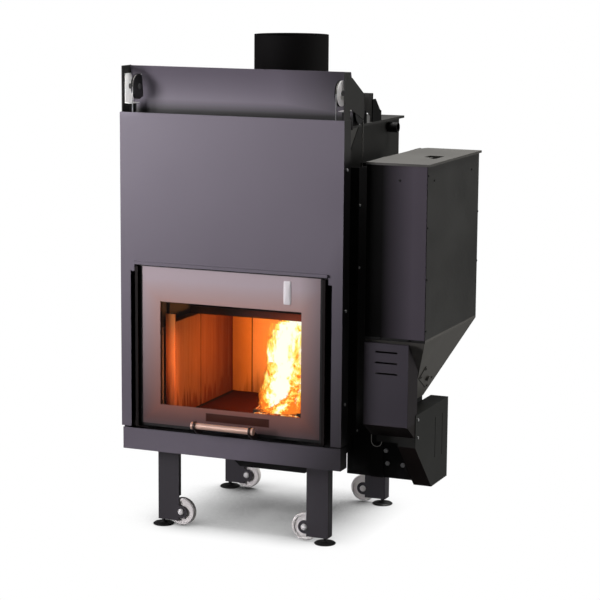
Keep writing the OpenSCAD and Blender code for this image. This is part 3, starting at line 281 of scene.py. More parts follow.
links.new(either.outputs[0], strength.inputs["Value"])
strength.inputs["To Min"].default_value = air_light
strength.inputs["To Max"].default_value = 1.0
links.new(strength.outputs[0], air["Background"].inputs["Strength"])
air["Background"].inputs["Color"].default_value = (1, 1, 1, 1)

# Front panel, plinth and trim: folded steel sheet, sprayed with a satin anthracite paint that has
# a violet cast and a fine metallic grain. The door's rails are painted a brownish black. Painted
# shading darkens the folded returns and the front towards its lower right corner.
violet = (0.164, 0.144, 0.182)
boiler_x, fold_reach, fold_y = -0.1285, 0.3920, -0.3235
corner_slope, corner_fade, corner_dark = 0.45, (-0.22, 0.10), 0.78


def paint_finish(name, colour, roughness, grain, metallic=0.25, dust=0.25, gloss=0.5, shade_or_primer=None,
                 under=(0.006, 0.006, 0.006)):
    """Baked paint: the colour drifts a little in broad clouds, a fine speckle varies the gloss, and
    the skin is slightly uneven like orange peel. Where the mask given is 1 the colour is under:
    painted shading on most finishes, and a real second coat on the head's bare back and the
    jacket's primed flanks."""
    made = Finish(name, Metallic=metallic, Specular_Ior_Level=gloss)
    drift = 0.14
    clouds = made.noise(1.6, detail=2.0)
    fleck = made.noise(900, detail=2.0, rough=0.7)
    darker, lighter = (tuple(c * (1 + change) for c in colour) for change in (-drift, drift))
    coat = made.blend(clouds * 0.8 + fleck * 0.2, darker, lighter)
    if shade_or_primer:
        coat = made.blend(shade_or_primer(made), coat, under)
    made.feed("Base Color", coat)
    dusting = (made.noise(5, detail=4.0) - 0.5) * dust
    made.feed("Roughness", roughness + dusting + (fleck - 0.5) * 0.12)
    made.relief(made.noise(420, detail=3.0, rough=0.6), grain)
    return made


def front_shade(made):
    """Painted shading: 1 on the folded returns behind the front, and rising to corner_dark towards
    its lower right corner."""
    x, y, z = made.axis("X"), made.axis("Y"), made.axis("Z")
    returns = (abs(x - boiler_x) > fold_reach) * (y > fold_y)
    return returns | made.fade(x - z * corner_slope, *corner_fade) * corner_dark


front_paint = paint_finish("front_paint", violet, roughness=0.46, grain=0.00010, metallic=0.12,
                           under=(0.004, 0.0037, 0.004), shade_or_primer=front_shade)
front_paint.cover("facade_panel", "plinth_panel", "hood_strip")
rail_paint = paint_finish("rail_paint", (0.010, 0.007, 0.007), roughness=0.5, grain=0.00010,
                          metallic=0.0, gloss=0.15)
rail_paint.cover("guide_rails")

# Curved back of the head: the same sheet, violet on its hollow front and bare black behind.
# Painted shading darkens its foot behind the front panel's upper edge, and its right end.
curve_y, curve_z, curve_r, half_sheet = -0.53875, 1.450, 0.300, 0.0015
foot_shading_fade, right_end_fade, right_end_dark = (1.452, 1.415), (0.02, 0.22), 0.65


def head_back_and_shading(made):
    """1 on the side that faces away from the curve's axis, where the sheet is bare black; painted
    shading that fades in below the curve and rises to right_end_dark at its right end."""
    above = (made.axis("Z") - curve_z) | 0.0
    reach = ((made.axis("Y") - curve_y) ** 2 + above ** 2) ** 0.5
    foot_shading = made.fade(made.axis("Z"), *foot_shading_fade)
    right_end = made.fade(made.axis("X"), *right_end_fade) * right_end_dark
    return (reach > curve_r + half_sheet) | foot_shading | right_end


head_paint = paint_finish("head_paint", violet, roughness=0.46, grain=0.00010, metallic=0.12,
                          shade_or_primer=head_back_and_shading)
head_paint.cover("head_back_panel")

# Head plates, frame and everything black behind the front: plate steel in a matt heat-proof paint,
# dusty in broad patches. The flue spigot is the mattest, and the legs keep a violet cast.
black_paint = paint_finish("black_paint", (0.007, 0.0068, 0.007), roughness=0.6, grain=0.00022,
                           metallic=0.0, dust=0.2, gloss=0.2)
black_paint.cover("front_frame", "counterweight_channels", "water_sockets", "air_box", "auger_tube",
                  "burner_plate", "burner_console", "drive_motors")
plate_paint = paint_finish("plate_paint", (0.020, 0.0195, 0.0185), roughness=0.50, grain=0.00022,
                           metallic=0.1, dust=0.3, gloss=0.4)
plate_paint.cover("top_plate")
head_plate_paint = paint_finish("head_plate_paint", (0.014, 0.0137, 0.0128), roughness=0.52,
                                grain=0.00022, metallic=0.1, gloss=0.35)
head_plate_paint.cover("head_side_plates")
flue_paint = paint_finish("flue_paint", (0.0060, 0.0056, 0.0058), roughness=0.75, grain=0.00022,
                          metallic=0.0, dust=0.1, gloss=0.06)
flue_paint.cover("flue_collar")
leg_paint = paint_finish("leg_paint", (0.050, 0.045, 0.054), roughness=0.45, grain=0.00018,
                         metallic=0.2)
leg_paint.cover("legs")

# Boiler jacket: welded black plate, with a grey primer on both flanks where the casing leaves them
# bare.
flank_reach = 0.3185
jacket_paint = paint_finish("jacket_paint", (0.010, 0.0095, 0.010), roughness=0.5, grain=0.0002,
                            metallic=0.0, gloss=0.3, under=(0.09, 0.088, 0.084),
                            shade_or_primer=lambda made: abs(made.axis("X") - boiler_x) > flank_reach)
jacket_paint.cover("boiler_jacket")

# Side casings, hopper, funnel and burner cover: thinner sheet in a satin dark grey, a little warmer
# than the front. Each part's grey is set by how it is lit: painted light makes the lid and the
# funnel lighter, painted shading makes the casing and the burner cover darker. The hopper's and
# the funnel's front edges and the cover's slope are darker still, as painted shading.
hopper_edge_y, funnel_edge_y, funnel_rim_z = -0.2492, -0.2485, 0.709
slope_sum = 0.1640  # y + z on the cover's slope
# Painted shading: the casing is darker than the hopper shell.
casing_paint = paint_finish("casing_paint", (0.020, 0.020, 0.0185), roughness=0.42, grain=0.00016,
                            metallic=0.1, gloss=0.35)
casing_paint.cover("casing_panels", "feeder_tray")
# Painted shading on the hopper shell's front edge.
side_paint = paint_finish("side_paint", (0.038, 0.038, 0.036), roughness=0.42, grain=0.00016,
                          metallic=0.15, shade_or_primer=lambda made: made.axis("Y") < hopper_edge_y)
side_paint.cover("hopper_shell")
# Painted light: the lid is lighter than the shell.
lid_paint = paint_finish("lid_paint", (0.092, 0.089, 0.083), roughness=0.42, grain=0.00016,
                         metallic=0.15)
lid_paint.cover("hopper_lid")
# Painted light: the funnel is lighter; painted shading on its front edge.
funnel_paint = paint_finish("funnel_paint", (0.138, 0.132, 0.122), roughness=0.40, grain=0.00016,
                            metallic=0.2,
                            shade_or_primer=lambda made: ((made.axis("Z") > funnel_rim_z)
                                                * (made.axis("Y") < funnel_edge_y)))
funnel_paint.cover("hopper_funnel", "funnel_hatch")
# Painted shading: the cover is darker, its slope darkest.
burner_paint = paint_finish("burner_paint", (0.019, 0.0198, 0.0180), roughness=0.45, grain=0.00016,
                            metallic=0.1, gloss=0.35, under=(0.010, 0.004, 0.003),
                            shade_or_primer=lambda made: made.axis("Y") + made.axis("Z") < slope_sum)
burner_paint.cover("burner_cover")

# Hopper front and louvered cover: the front's violet paint, one tone darker. Painted shading
# darkens the side of the hopper front that stands behind the front panel, as the panel's shadow,
# and the cover's lower lip and right side.
hopper_low, hopper_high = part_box("hopper_front")
panel_shadow_fade, lip_z, cover_side_x, side_dark = (0.78, 0.26), 0.4305, 0.4680, 0.78


def hopper_shade(made):
    """Painted shadow of the front panel: rises from 0 to 1 from right to left, by the share of the
    hopper front's width.
    """
    share = (made.axis("X") - hopper_low.x) / (hopper_high.x - hopper_low.x)
    return made.fade(share, *panel_shadow_fade)


def louver_shade(made):
    """Painted shading: 1 on the lower lip and side_dark on the right side."""
    return (made.axis("Z") < lip_z) | (made.axis("X") > cover_side_x) * side_dark


hopper_paint = paint_finish("hopper_paint", (0.100, 0.087, 0.108), roughness=0.42, grain=0.00012,
                            metallic=0.15, gloss=0.1, under=(0.002, 0.002, 0.002),
                            shade_or_primer=hopper_shade)
hopper_paint.cover("hopper_front")
louver_paint = paint_finish("louver_paint", (0.066, 0.058, 0.073), roughness=0.45, grain=0.00012,
                            metallic=0.15, gloss=0.3, under=(0.008, 0.004, 0.004),
                            shade_or_primer=louver_shade)
louver_paint.cover("louvered_cover")

# Zinc-plated pulley brackets and the outer face of the right pulley: the plating shows a faint
# brushed grain and a flowery bloom. The rear posts and the pulley's rim are painted black, and the
# posts' folded front is painted grey as painted light.
post_y, post_fold_y, fold_depth, post_edge_x = -0.18, -0.0400, 0.006, 0.2480
pulley_face_x = 0.2333


def zinc_finish(name, painted):
    """Zinc plating where painted(finish) is 0, and black paint where it is 1, grey as painted light
    within fold_depth of the posts' folded front."""
    made = Finish(name, Specular_Ior_Level=0.1)
    bloom = made.node("ShaderNodeTexVoronoi", {}, {"Vector": made.place(), "Scale": 70},
                      out="Distance")
    brushed = made.noise(60, detail=4.0, stretch=(1, 1, 22))
    plated = made.blend(bloom * 0.6 + brushed * 0.5, (0.70, 0.69, 0.69), (0.92, 0.91, 0.90))
    mask = painted(made)
    painted_light_fold = (abs(made.axis("Y") - post_fold_y) < fold_depth) * (made.axis("X") < post_edge_x)
    paint = made.blend(painted_light_fold, (0.003, 0.003, 0.003), (0.27, 0.265, 0.26))
    made.feed("Base Color", made.blend(mask, plated, paint))
    made.feed("Roughness", 0.36 + brushed * 0.2 + mask * 0.35)
    made.relief(brushed, 0.00008)
    return made


zinc_bracket = zinc_finish("zinc_bracket", lambda made: made.axis("Y") > post_y)
zinc_bracket.cover("pulley_brackets")
zinc_pulley = zinc_finish("zinc_pulley", lambda made: made.axis("X") < pulley_face_x)
zinc_pulley.cover("front_pulley_right")

# Pulleys: turned wheels of black plastic on bolts, with fine rings left by the tool and a groove
# for the cable.
pulley_black = Finish("pulley_black", Roughness=0.50, Specular_Ior_Level=0.3)
rings = pulley_black.noise(160, detail=3.0)
pulley_black.feed("Base Color", pulley_black.blend(rings, (0.004, 0.004, 0.004),
                                                   (0.010, 0.010, 0.011)))
pulley_black.relief(rings, 0.00015)
pulley_black.cover("front_pulley_left", "rear_pulley_left", "rear_pulley_right")

# Feed screw and fan: bright steel with fine turning marks. The axle bolts are bright on the wheels
# and blackened on the pulleys.
wheels_below_z = 0.3
bright_steel = Finish("bright_steel", Metallic=0.3)
marks = bright_steel.noise(240, detail=4.0, stretch=(1, 1, 6))
bright_steel.feed("Base Color", bright_steel.blend(marks, (0.68, 0.67, 0.67), (0.92, 0.91, 0.91)))
bright_steel.feed("Roughness", 0.24 + marks * 0.25)
bright_steel.relief(marks, 0.00006)
bright_steel.cover("feed_auger", "fan_impeller")
bolt_steel = Finish("bolt_steel", Metallic=0.2, Roughness=0.45)
specks = bolt_steel.noise(240, detail=4.0)
on_wheel = bolt_steel.axis("Z") < wheels_below_z
dark_steel = bolt_steel.blend(specks, (0.020, 0.020, 0.021), (0.060, 0.059, 0.058))
bolt_steel.feed("Base Color", bolt_steel.blend(on_wheel, dark_steel, (0.92, 0.90, 0.90)))
bolt_steel.cover("axle_bolts")

# Cables: twisted steel wire, bright on the front runs, and darker over the pulleys and behind them
# as painted shading.
wire_rings, wire_sides, wire_tip = 60, 12, 1e-6
strands_per_metre = 300


def surface(name, points, closed_u=False, body="boiler", finish=None, uv=False):
    """Makes a mesh from a grid of points (rows, columns, 3); faces join each point with its next
    in both directions, and round the columns where closed_u is set. It rides on body, if one is
    given, and uv lays the map "spread" over it, 0 to 1 along the columns and the rows."""
    rows, columns = points.shape[:2]
    index = np.arange(rows * columns).reshape(rows, columns)
    right = np.roll(index, -1, axis=1) if closed_u else index[:, 1:]
    left = index if closed_u else index[:, :-1]
    quads = np.stack((left[:-1], right[:-1], right[1:], left[1:]), axis=-1).reshape(-1, 4)
    mesh = bpy.data.meshes.new(name)
    mesh.from_pydata(points.reshape(-1, 3).tolist(), [], quads.tolist())
    if uv:
        shares = np.meshgrid(np.linspace(0, 1, columns), np.linspace(0, 1, rows))
        spread = np.stack(shares, axis=-1).reshape(-1, 2)
        loops = np.empty(len(mesh.loops), np.int32)
        mesh.loops.foreach_get("vertex_index", loops)
        layer = mesh.uv_layers.new(name="spread")
        layer.data.foreach_set("uv", spread[loops].ravel().astype(np.float32))
    mesh.polygons.foreach_set("use_smooth", np.ones(len(mesh.polygons), bool))
    piece = bpy.data.objects.new(name, mesh)
    studio.collection.objects.link(piece)
    if finish:
        mesh.materials.append(finish.material)
    if body:
        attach(piece, body)
    return piece


def wire_finish(name, low, high):
    """Diagonal bands from low to high stand for the strands, with a groove between them."""
    made = Finish(name, Metallic=0.8, Roughness=0.38)
    strands = made.node("ShaderNodeTexWave", {"bands_direction": "DIAGONAL"},
                        {"Vector": made.place(), "Scale": strands_per_metre})
    made.feed("Base Color", made.blend(strands, low, high))
    made.relief(strands, 0.0004)
    return made


def upright_wire(x, y, radius, bottom, top):
    """Grid of a round wire: circles of the radius at even heights, drawn to a point at each end."""
    heights = np.concatenate(([bottom], np.linspace(bottom, top, wire_rings), [top]))
    radii = np.concatenate(([wire_tip], np.full(wire_rings, radius), [wire_tip]))[:, None]
    turn = np.linspace(0, 2 * np.pi, wire_sides, endpoint=False)
    return np.stack((x + radii * np.cos(turn), y + radii * np.sin(turn),
                     np.repeat(heights[:, None], wire_sides, axis=1)), axis=-1)


bright_wire = wire_finish("bright_wire", (0.30, 0.30, 0.31), (0.62, 0.62, 0.63))
shaded_wire = wire_finish("shaded_wire", (0.05, 0.05, 0.05), (0.22, 0.21, 0.20))
shaded_wire.cover("cable_top_runs")
for run, finish, left_body, right_body in [
        ("cable_front_runs", bright_wire, "door", "door"),
        ("cable_rear_runs", shaded_wire, "weight_left", "weight_right")]:
    low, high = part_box(run)
    radius, y = (high.y - low.y) / 2, (low.y + high.y) / 2
    for end, x, body in [("left", low.x + radius, left_body),
                         ("right", high.x - radius, right_body)]:
        wire = surface("%s_%s" % (run, end), upright_wire(x, y, radius, low.z, high.z),
                       closed_u=True, body=None, finish=finish)
        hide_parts(run)
        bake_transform(wire)

# Counterweights: rough cast bars that hang on the cables and slide in the channels beside the
# boiler, in a dull dark grey.
cast_grey = paint_finish("cast_grey", (0.03, 0.03, 0.03), roughness=0.62, grain=0.0006,
                         metallic=0.1)
cast_grey.cover("counterweight_left", "counterweight_right")

# Screws: round heads and hex bolts, zinc-plated on the frame and the burner and blackened on the
# hopper, worn a little unevenly.
hopper_from_x, hopper_from_z = 0.31, 0.70
screw_finish = Finish("screw_heads", Metallic=0.5)
worn = screw_finish.noise(300, detail=3.0)
on_hopper = ((screw_finish.axis("X") > hopper_from_x)
             * (screw_finish.axis("Z") > hopper_from_z))
plated = screw_finish.blend(worn, (0.40, 0.40, 0.41), (0.66, 0.66, 0.67))
screw_finish.feed("Base Color", screw_finish.blend(on_hopper, plated, (0.015, 0.015, 0.015)))
screw_finish.feed("Roughness", 0.3 + worn * 0.2)
screw_finish.cover("screws")

# Door frame: a welded frame of black-painted steel behind the glass, which carries it and hangs on
# the cables.
door_paint = paint_finish("door_paint", (0.010, 0.009, 0.010), roughness=0.45, grain=0.0002)
door_paint.cover("door_frame")

# Door glass: fire-proof ceramic glass. A violet-grey border is printed on its back all round the
# window. Its tone carries painted light: a painted reflection lightens it towards the top, a
# painted glow of the fire warms it near the window, painted shading dims it towards its right edge,
# and a painted reflection of the handle darkens a strip behind it.
window_low, window_high = (-0.3810, 0.4440), (0.1240, 0.7910)
strip_x, strip_z = -0.1008, 0.4155
strip_half_x, strip_half_z = (0.1155, 0.1120), (0.0150, 0.0125)
reflection_dark, right_shading_depth = 0.85, 0.5
print_edge, fire_glow_fade = (-0.0004, 0.0004), (0.075, 0.004)
height_fade, right_fade = (0.40, 0.86), (0.115, 0.185)
print_cover, glass_tint, smear_tint, smear_reach = 0.95, 0.04, 0.03, 0.02
glass_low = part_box("door_glass")[0]
glass = Finish("door_glass", Roughness=0.05, Coat_Weight=0.2, Coat_Roughness=0.03)
x, z = glass.axis("X"), glass.axis("Z")
mid_x, mid_z = (window_low[0] + window_high[0]) / 2, (window_low[1] + window_high[1]) / 2
half_x, half_z = (window_high[0] - window_low[0]) / 2, (window_high[1] - window_low[1]) / 2
past = (abs(x - mid_x) - half_x) | (abs(z - mid_z) - half_z)
border = glass.fade(past, *print_edge)
smear = glass.noise(7, detail=5.0, rough=0.6)
# Painted light: the fire's glow near the window.
fire_glow = glass.fade(past + (smear - 0.5) * smear_reach, *fire_glow_fade)
height = glass.fade(z, *height_fade)
# Painted reflection: the border is lighter towards the top.
painted_sheen_tone = glass.blend(height, (0.115, 0.090, 0.098), (0.610, 0.510, 0.550))
painted_fire_glow_tone = glass.blend(height, (0.290, 0.115, 0.090), (0.630, 0.430, 0.405))
# Painted reflection of the handle: a dark strip behind it.
handle_reflection = (glass.fade(abs(x - strip_x), *strip_half_x)
            * glass.fade(abs(z - strip_z), *strip_half_z))
# Painted shading towards the right edge.
right_shading = glass.fade(x, *right_fade) * right_shading_depth
border_tone = glass.blend(right_shading, glass.blend(fire_glow, painted_sheen_tone, painted_fire_glow_tone), (0.080, 0.050, 0.050))
printed = glass.blend(handle_reflection * reflection_dark, border_tone, (0.035, 0.008, 0.004))
glass.feed("Base Color", glass.blend(border, (0.08, 0.05, 0.04), printed))
glass.feed("Alpha", border * print_cover + glass_tint + (1 - border) * smear * smear_tint)
glass.cover("door_glass")

# Sealing rope: braided glass fibre, glued to the back of the door frame round the window and
# pressed flat against the boiler.
rope = Finish("sealing_rope", Roughness=0.9)
braid = rope.node("ShaderNodeTexWave", {"bands_direction": "DIAGONAL"},
                  {"Vector": rope.place(), "Scale": 120, "Distortion": 1.5})
rope.feed("Base Color", rope.blend(braid, (0.03, 0.03, 0.03), (0.12, 0.115, 0.11)))
rope.relief(braid, 0.0012)
rope.cover("door_gasket")

# Handle: a brushed steel bar with a warm rose tone, fixed with two darkened arms to the door's
# lower edge.
handle_metal = Finish("handle_metal", Metallic=0.3)
lines = handle_metal.noise(90, detail=5.0, rough=0.6, stretch=(0.4, 14, 14))
handle_metal.feed("Base Color", handle_metal.blend(lines, (0.90, 0.50, 0.38), (1.0, 0.76, 0.64)))
handle_metal.feed("Roughness", 0.24 + lines * 0.2)
handle_metal.relief(lines, 0.00008)
handle_metal.cover("handle_bar")
arm_paint = paint_finish("arm_paint", (0.060, 0.042, 0.038), roughness=0.4, grain=0.0001,
                         metallic=0.4)
arm_paint.cover("handle_brackets")

# Bare plate on the glass: a small strip of brushed steel with rounded corners, stuck to the upper
# right of the border.
plate_left, plate_right, plate_bottom, plate_top = 0.0615, 0.0870, 0.813, 0.890
plate_proud, plate_sunk, plate_bevel = 0.0016, 0.0001, 0.0006


def pillow_block(low, high, bevel):
    """Closed grid of a block with rounded edges: its outline is a superellipse, whose rings run
    from a point on the front over the edge, drawn in by the bevel, to a point on the back."""
    low, high = np.array(low), np.array(high)
    sides, power, point = 48, 0.18, 1e-4
    turn = np.linspace(2 * np.pi, 0, sides, endpoint=False)
    ring_x = np.sign(np.cos(turn)) * np.abs(np.cos(turn)) ** power
    ring_z = np.sign(np.sin(turn)) * np.abs(np.sin(turn)) ** power
    size, centre = (high - low) / 2, (high + low) / 2
    reach = np.array([point, 1 - bevel / size[0], 1, 1, point])[:, None]
    depth = np.array([1, 1, 1 - bevel / size[1], -1, -1])[:, None]
    return np.stack((centre[0] + ring_x * size[0] * reach,
                     centre[1] - size[1] * np.repeat(depth, sides, axis=1),
                     centre[2] + ring_z * size[2] * reach), axis=-1)


plate_metal = Finish("plate_metal")
hair = plate_metal.noise(120, detail=4.0, stretch=(16, 1, 0.4))
plate_metal.feed("Base Color", plate_metal.blend(hair, (0.90, 0.86, 0.88), (1.0, 0.96, 0.99)))
plate_metal.feed("Roughness", 0.3 + hair * 0.2)
plate_grid = pillow_block((plate_left, glass_low.y - plate_proud, plate_bottom),
                          (plate_right, glass_low.y + plate_sunk, plate_top), plate_bevel)
bare_plate = surface("bare_plate", plate_grid, closed_u=True, body="door", finish=plate_metal)

# Firebricks: pressed chamotte, brushed vertically. Soot darkens the left wall, most of all its
# foot, and painted shading darkens it further in and deepens the far corner; the hearth is burnt
# dark red;
# painted firelight warms the back left of its joint and the left wall's front face; joints are
# black, and the left wall's foot line is a painted shadow.
left_wall, back_wall, hearth, mouth_y, skin = -0.3395, 0.16625, 0.400, -0.2930, 0.001
left_joint_y, back_joint_x, joint_fade = -0.0940, -0.2640, (0.0026, 0.0012)
hearth_skin, line_wide, line_tall, line_front = 0.0006, 0.012, 0.0015, -0.25
left_dark, deeper_in, foot_dark, back_dark = 0.79, 0.14, 0.95, 0.6
corner_shading_depth, left_corner_shading, corner_shading_fade = 0.50, 0.47, (0.130, 0.010)
left_fade, foot_fade, back_fade = (-0.20, 0.10), (0.62, 0.42), (0.50, 0.40)
brick = Finish("fire_brick", Roughness=0.95, Specular_Ior_Level=0.1)
x, y, z = brick.axis("X"), brick.axis("Y"), brick.axis("Z")
grit = brick.noise(160, detail=6.0, rough=0.7)
patch = brick.noise(9, detail=4.0)
streak = brick.noise(70, detail=5.0, rough=0.6, stretch=(1, 1, 0.05))
pressed = patch * 0.5 + grit * 0.5
clay = brick.blend(pressed, (0.62, 0.38, 0.20), (0.78, 0.54, 0.32))
on_left, on_back, on_front = x < left_wall + skin, y > back_wall - skin, y < mouth_y
on_hearth = z < hearth + hearth_skin
corner = ((x - left_wall) ** 2 + (y - back_wall) ** 2) ** 0.5
# Painted shading in the far corner, deeper on the left wall.
corner_shading = (brick.fade(corner + (patch - 0.5) * 0.05, *corner_shading_fade)
        * (corner_shading_depth + on_left * left_corner_shading))
# Soot on the left wall, and painted shading that deepens further in.
left_soot_and_shading = (on_left * (left_dark + brick.fade(y, *left_fade) * deeper_in)
             + (streak - 0.5) * 0.15)
foot_soot = brick.fade(z + (streak - 0.5) * 0.30, *foot_fade) * foot_dark
back_soot = brick.fade(z + (streak - 0.5) * 0.20, *back_fade) * on_back * back_dark
soot = corner_shading | back_soot | left_soot_and_shading * (1 - on_front) | (on_left * foot_soot) | on_hearth
left_joint = brick.fade(abs(y - left_joint_y), *joint_fade) * on_left
back_joint = brick.fade(abs(x - back_joint_x), *joint_fade) * on_back
# Painted shadow: a black line where the left wall meets the hearth.
foot_shadow_line = (x < left_wall + line_wide) * (z < hearth + line_tall) * (y > line_front)
streaked = brick.blend(streak * 0.3, clay, (0.42, 0.20, 0.09))
# Painted firelight: the back wall left of its joint is warmer.
fire_lit_back = brick.blend(pressed, (0.60, 0.31, 0.09), (0.80, 0.44, 0.15))
tinted = brick.blend(on_back * (x < back_joint_x), streaked, fire_lit_back)
# Painted firelight: the left wall's front face is deep orange.
tinted = brick.blend(on_front, tinted, (0.62, 0.22, 0.06))
sooty = brick.blend(on_hearth, (0.060, 0.0045, 0.0010), (0.027, 0.0022, 0.0005))
stained = brick.blend(soot, tinted, sooty)
brick.feed("Base Color", brick.blend(left_joint | back_joint | foot_shadow_line, stained,
                                     (0.003, 0.002, 0.002)))
brick.relief(grit + patch * 2 + streak, 0.0010)
brick.cover("firebox_bricks")

# Firebox plates, baffle, tubes and cast burner pot: welded steel burnt to a dull brown-black. The
# shell's left wall is lighter grey beside the mouth as painted light, and darker blue above it as
# painted shading, and the baffle's front is painted red over the fire as painted firelight.
shell_x, jamb_top_z, jamb_back_y, baffle_y = -0.3730, 0.700, -0.10, -0.1080
firelit_fade = (-0.22, 0.06)
burnt = Finish("burnt_steel", Roughness=0.85)
x, y, z = burnt.axis("X"), burnt.axis("Y"), burnt.axis("Z")
scale = burnt.noise(60, detail=6.0, rough=0.7)
on_shell = x < shell_x
dull = burnt.blend(scale, (0.020, 0.016, 0.014), (0.060, 0.046, 0.040))
lit_jamb_grey = burnt.blend(scale, (0.12, 0.10, 0.09), (0.20, 0.165, 0.15))
shaded_blue = burnt.blend(scale, (0.012, 0.018, 0.028), (0.020, 0.029, 0.046))
# Painted light beside the mouth, painted shading above it.
plates = burnt.blend(on_shell * (z < jamb_top_z) * (y < jamb_back_y), dull, lit_jamb_grey)
plates = burnt.blend(on_shell * (z > jamb_top_z), plates, shaded_blue)
# Painted firelight on the baffle's front.
firelit_red = burnt.fade(x, *firelit_fade) * (y < baffle_y) * (z > jamb_top_z)
burnt.feed("Base Color", burnt.blend(firelit_red, plates, (0.240, 0.026, 0.006)))
burnt.relief(scale, 0.0010)
burnt.cover("firebox_shell", "smoke_baffle", "exchanger_tubes", "burner_pot")

# Embers: a heap of glowing pellets that fills the burner pot and spills over its rim onto the
# hearth. Over u and v from -1 to 1 it is (1 - u^8)(1 - v^8) high, with lumps of averaged noise.
pot_low, pot_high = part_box("burner_pot")
fire_x, fire_y = (pot_low.x + pot_high.x) / 2, (pot_low.y + pot_high.y) / 2
spill, heap_tall, lump_tall, pot_floor = 0.006, 0.038, 0.022, 0.001
rim_x, rim_y = (pot_high.x - pot_low.x) / 2 + spill, (pot_high.y - pot_low.y) / 2 + spill
bed_rows, bed_columns = 140, 110
grid_u, grid_v = np.meshgrid(np.linspace(-1, 1, bed_columns), np.linspace(-1, 1, bed_rows))
heap = (1 - grid_u ** 8) * (1 - grid_v ** 8)
dice = np.random.default_rng(7)
lumps = dice.random((bed_rows, bed_columns))
lumps = (lumps + np.roll(lumps, 1, 0) + np.roll(lumps, 1, 1) + np.roll(lumps, (1, 1), (0, 1))) / 4
bed_height = pot_floor + heap ** 0.5 * heap_tall + heap * (lumps - 0.3) * lump_tall
bed = np.stack((fire_x + grid_u * rim_x, fire_y + grid_v * rim_y, pot_low.z + bed_height), axis=-1)
ember = Finish("embers", Roughness=0.9, Emission_Strength=1.0)
cracks = ember.noise(75, detail=5.0, rough=0.65)
glowing = ember.ramp(cracks, [(0.40, (0.04, 0.002, 0.0)), (0.50, (0.55, 0.06, 0.005)),
                              (0.58, (1.0, 0.32, 0.04)), (0.68, (1.0, 0.80, 0.40))])
ember.feed("Base Color", ember.blend(cracks, (0.02, 0.01, 0.01), (0.12, 0.05, 0.03)))
ember.feed("Emission Color", glowing)
surface("ember_bed", bed, finish=ember)

# Flames: bowed sheets one behind the other, each a ragged mass from the embers up to the baffle,
# white inside with yellow and orange patches, narrower at the top. Low orange licks stand in
# front, and a lamp in the fire and one at the mouth light the bricks.
flame_foot, flame_bow, half_width, flame_columns, flame_rows = 0.026, 0.02, 0.92, 33, 49
fire_orange, mouth_orange = (1.0, 0.28, 0.040), (1.0, 0.28, 0.08)
fire_power, fire_radius = 5.0, 0.04
lamp_left, lamp_back, lamp_z = 0.105, 0.020, 0.60


def sheet_points(foot, width, tall, bow):
    """A sheet: u runs across it and v up it; it is bowed like a trough by bow times u squared."""
    u, v = np.meshgrid(np.linspace(-1, 1, flame_columns), np.linspace(0, 1, flame_rows))
    return np.stack((foot[0] + u * width, foot[1] + bow * (u ** 2 - 0.5), foot[2] + tall * v),
                    axis=-1)


def flame_finish(name, seed, white, taper, ragged):
    """Emission from white at the core to deep orange at the edge, cooler at the foot. The edge
    stands where the distance from a middle that leans to the right passes a half-width that
    shrinks by taper towards the top, torn by noise."""
    made = Finish(name, Roughness=1.0, Base_Color=(0, 0, 0, 1), Emission_Strength=1.25,
                  Specular_Ior_Level=0.0)
    at = made.node("ShaderNodeUVMap", {"uv_map": "spread"})
    u = made.node("ShaderNodeSeparateXYZ", {}, {0: at}, out="X")
    v = made.node("ShaderNodeSeparateXYZ", {}, {0: at}, out="Y")

    def turbulence(stretch, detail, bend):
        moved = {"Vector": at, "Scale": stretch, "Location": (seed, seed, 0)}
        return made.node("ShaderNodeTexNoise", {}, {
            "Vector": made.node("ShaderNodeMapping", {}, moved),
            "Scale": 1.0, "Detail": detail, "Roughness": 0.6, "Distortion": bend})

    torn = turbulence((4, 2.6, 1), detail=5.0, bend=0.5)
    licks = turbulence((7, 4.5, 1), detail=4.0, bend=1.0)
    fine = turbulence((16, 9, 1), detail=3.0, bend=0.6)
    inside = ((half_width - v * taper) - abs(u * 2 - 1 - v * taper)
              + (torn - 0.5) * ragged + (fine - 0.5) * 0.35)
    heat = (inside * 1.5 + (licks - 0.5) * 1.7 + (fine - 0.5) * 0.5
            - made.fade(v, 0.32, 0.0) * 0.55 + white)
    made.feed("Emission Color", made.ramp(heat, [
        (0.05, (0.90, 0.20, 0.02)), (0.15, (1.0, 0.50, 0.05)),
        (0.38, (1.0, 0.84, 0.18)), (0.68, (1.0, 0.98, 0.80))]))
    made.feed("Alpha", made.fade(inside, 0.0, 0.16) * made.fade(v, 0.0, 0.04))
    return made


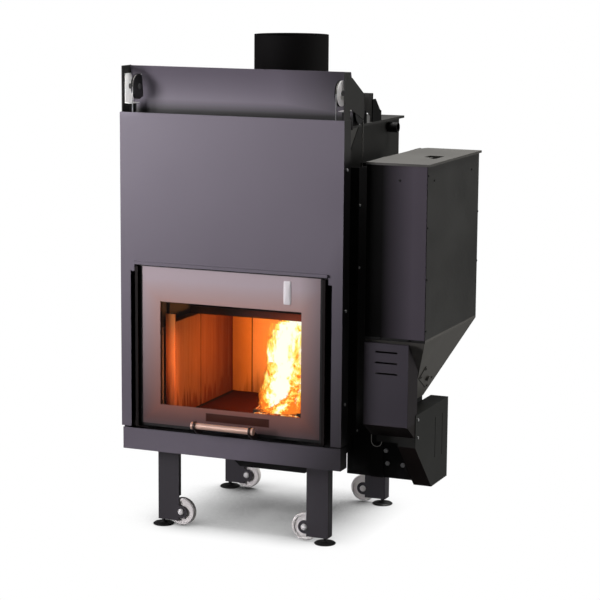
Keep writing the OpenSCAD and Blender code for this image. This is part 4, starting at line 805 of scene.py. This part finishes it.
fires = [flame_finish("flame_%d" % k, seed=3.7 * k, white=0.05 * k, taper=0.27, ragged=1.05)
         for k in range(4)]
low_fire = flame_finish("flame_low", seed=8.3, white=-0.30, taper=0.9, ragged=1.2)
tall_sheets = [  # right of and behind the fire's middle, half the width, height
    (0.004, -0.118, 0.090, 0.17), (0.004, -0.100, 0.094, 0.275), (0.000, -0.070, 0.098, 0.29),
    (0.000, -0.035, 0.100, 0.292), (0.000, 0.005, 0.098, 0.292), (0.006, 0.045, 0.094, 0.292),
    (0.002, 0.085, 0.092, 0.28), (0.000, 0.110, 0.088, 0.24)]
low_sheets = [(0.004, -0.134, 0.074, 0.070), (0.020, -0.126, 0.066, 0.105)]
for k, (dx, dy, width, tall) in enumerate(tall_sheets + low_sheets):
    foot = (fire_x + dx, fire_y + dy, pot_low.z + flame_foot)
    surface("flame_%d" % k, sheet_points(foot, width, tall, flame_bow), uv=True,
            finish=fires[k % 4] if k < len(tall_sheets) else low_fire)
fire_light = bpy.data.lights.new("fire_light", "POINT")
fire_light.energy = fire_power
fire_light.color = fire_orange
fire_light.shadow_soft_size = fire_radius
fire_lamp = bpy.data.objects.new("fire_light", fire_light)
fire_lamp.location = (fire_x - lamp_left, fire_y + lamp_back, lamp_z)
fire_lamp.visible_camera = False
studio.collection.objects.link(fire_lamp)
mouth_lamp = soft_lamp("mouth_lamp", place=(-0.300, -0.313, 0.565), target=(-0.362, -0.294, 0.565),
                       size=(0.02, 0.24), power=0.23, colour=mouth_orange)
mouth_lamp.visible_camera = False

# Wheels: transport wheels of turned white nylon on axle bolts, a little yellowed and marked with
# dirt.
nylon = Finish("white_nylon", Roughness=0.38)
grime = nylon.noise(45, detail=5.0, rough=0.6)
nylon.feed("Base Color", nylon.blend(grime * 0.5, (1.0, 0.97, 0.96), (0.78, 0.72, 0.70)))
nylon.relief(grime, 0.0003)
nylon.cover("wheel_front_left", "wheel_front_right", "wheel_rear_left", "wheel_rear_right")

# Levelling feet: moulded black plastic discs on steel studs, which screw into the legs from
# below.
foot_black = paint_finish("foot_black", (0.014, 0.014, 0.014), roughness=0.5, grain=0.0003,
                          metallic=0.0)
foot_black.cover("foot_front_left", "foot_front_right", "foot_rear_left", "foot_rear_right")

# Sensor lead: a thin wire in grey silicone rubber, which hangs in a small loop between the louvered
# cover and the tray.
lead_skin = Finish("lead_skin", Roughness=0.55)
tint = lead_skin.noise(200, detail=2.0)
lead_skin.feed("Base Color", lead_skin.blend(tint, (0.50, 0.49, 0.46), (0.66, 0.65, 0.62)))
lead_skin.cover("sensor_lead")

low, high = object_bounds()
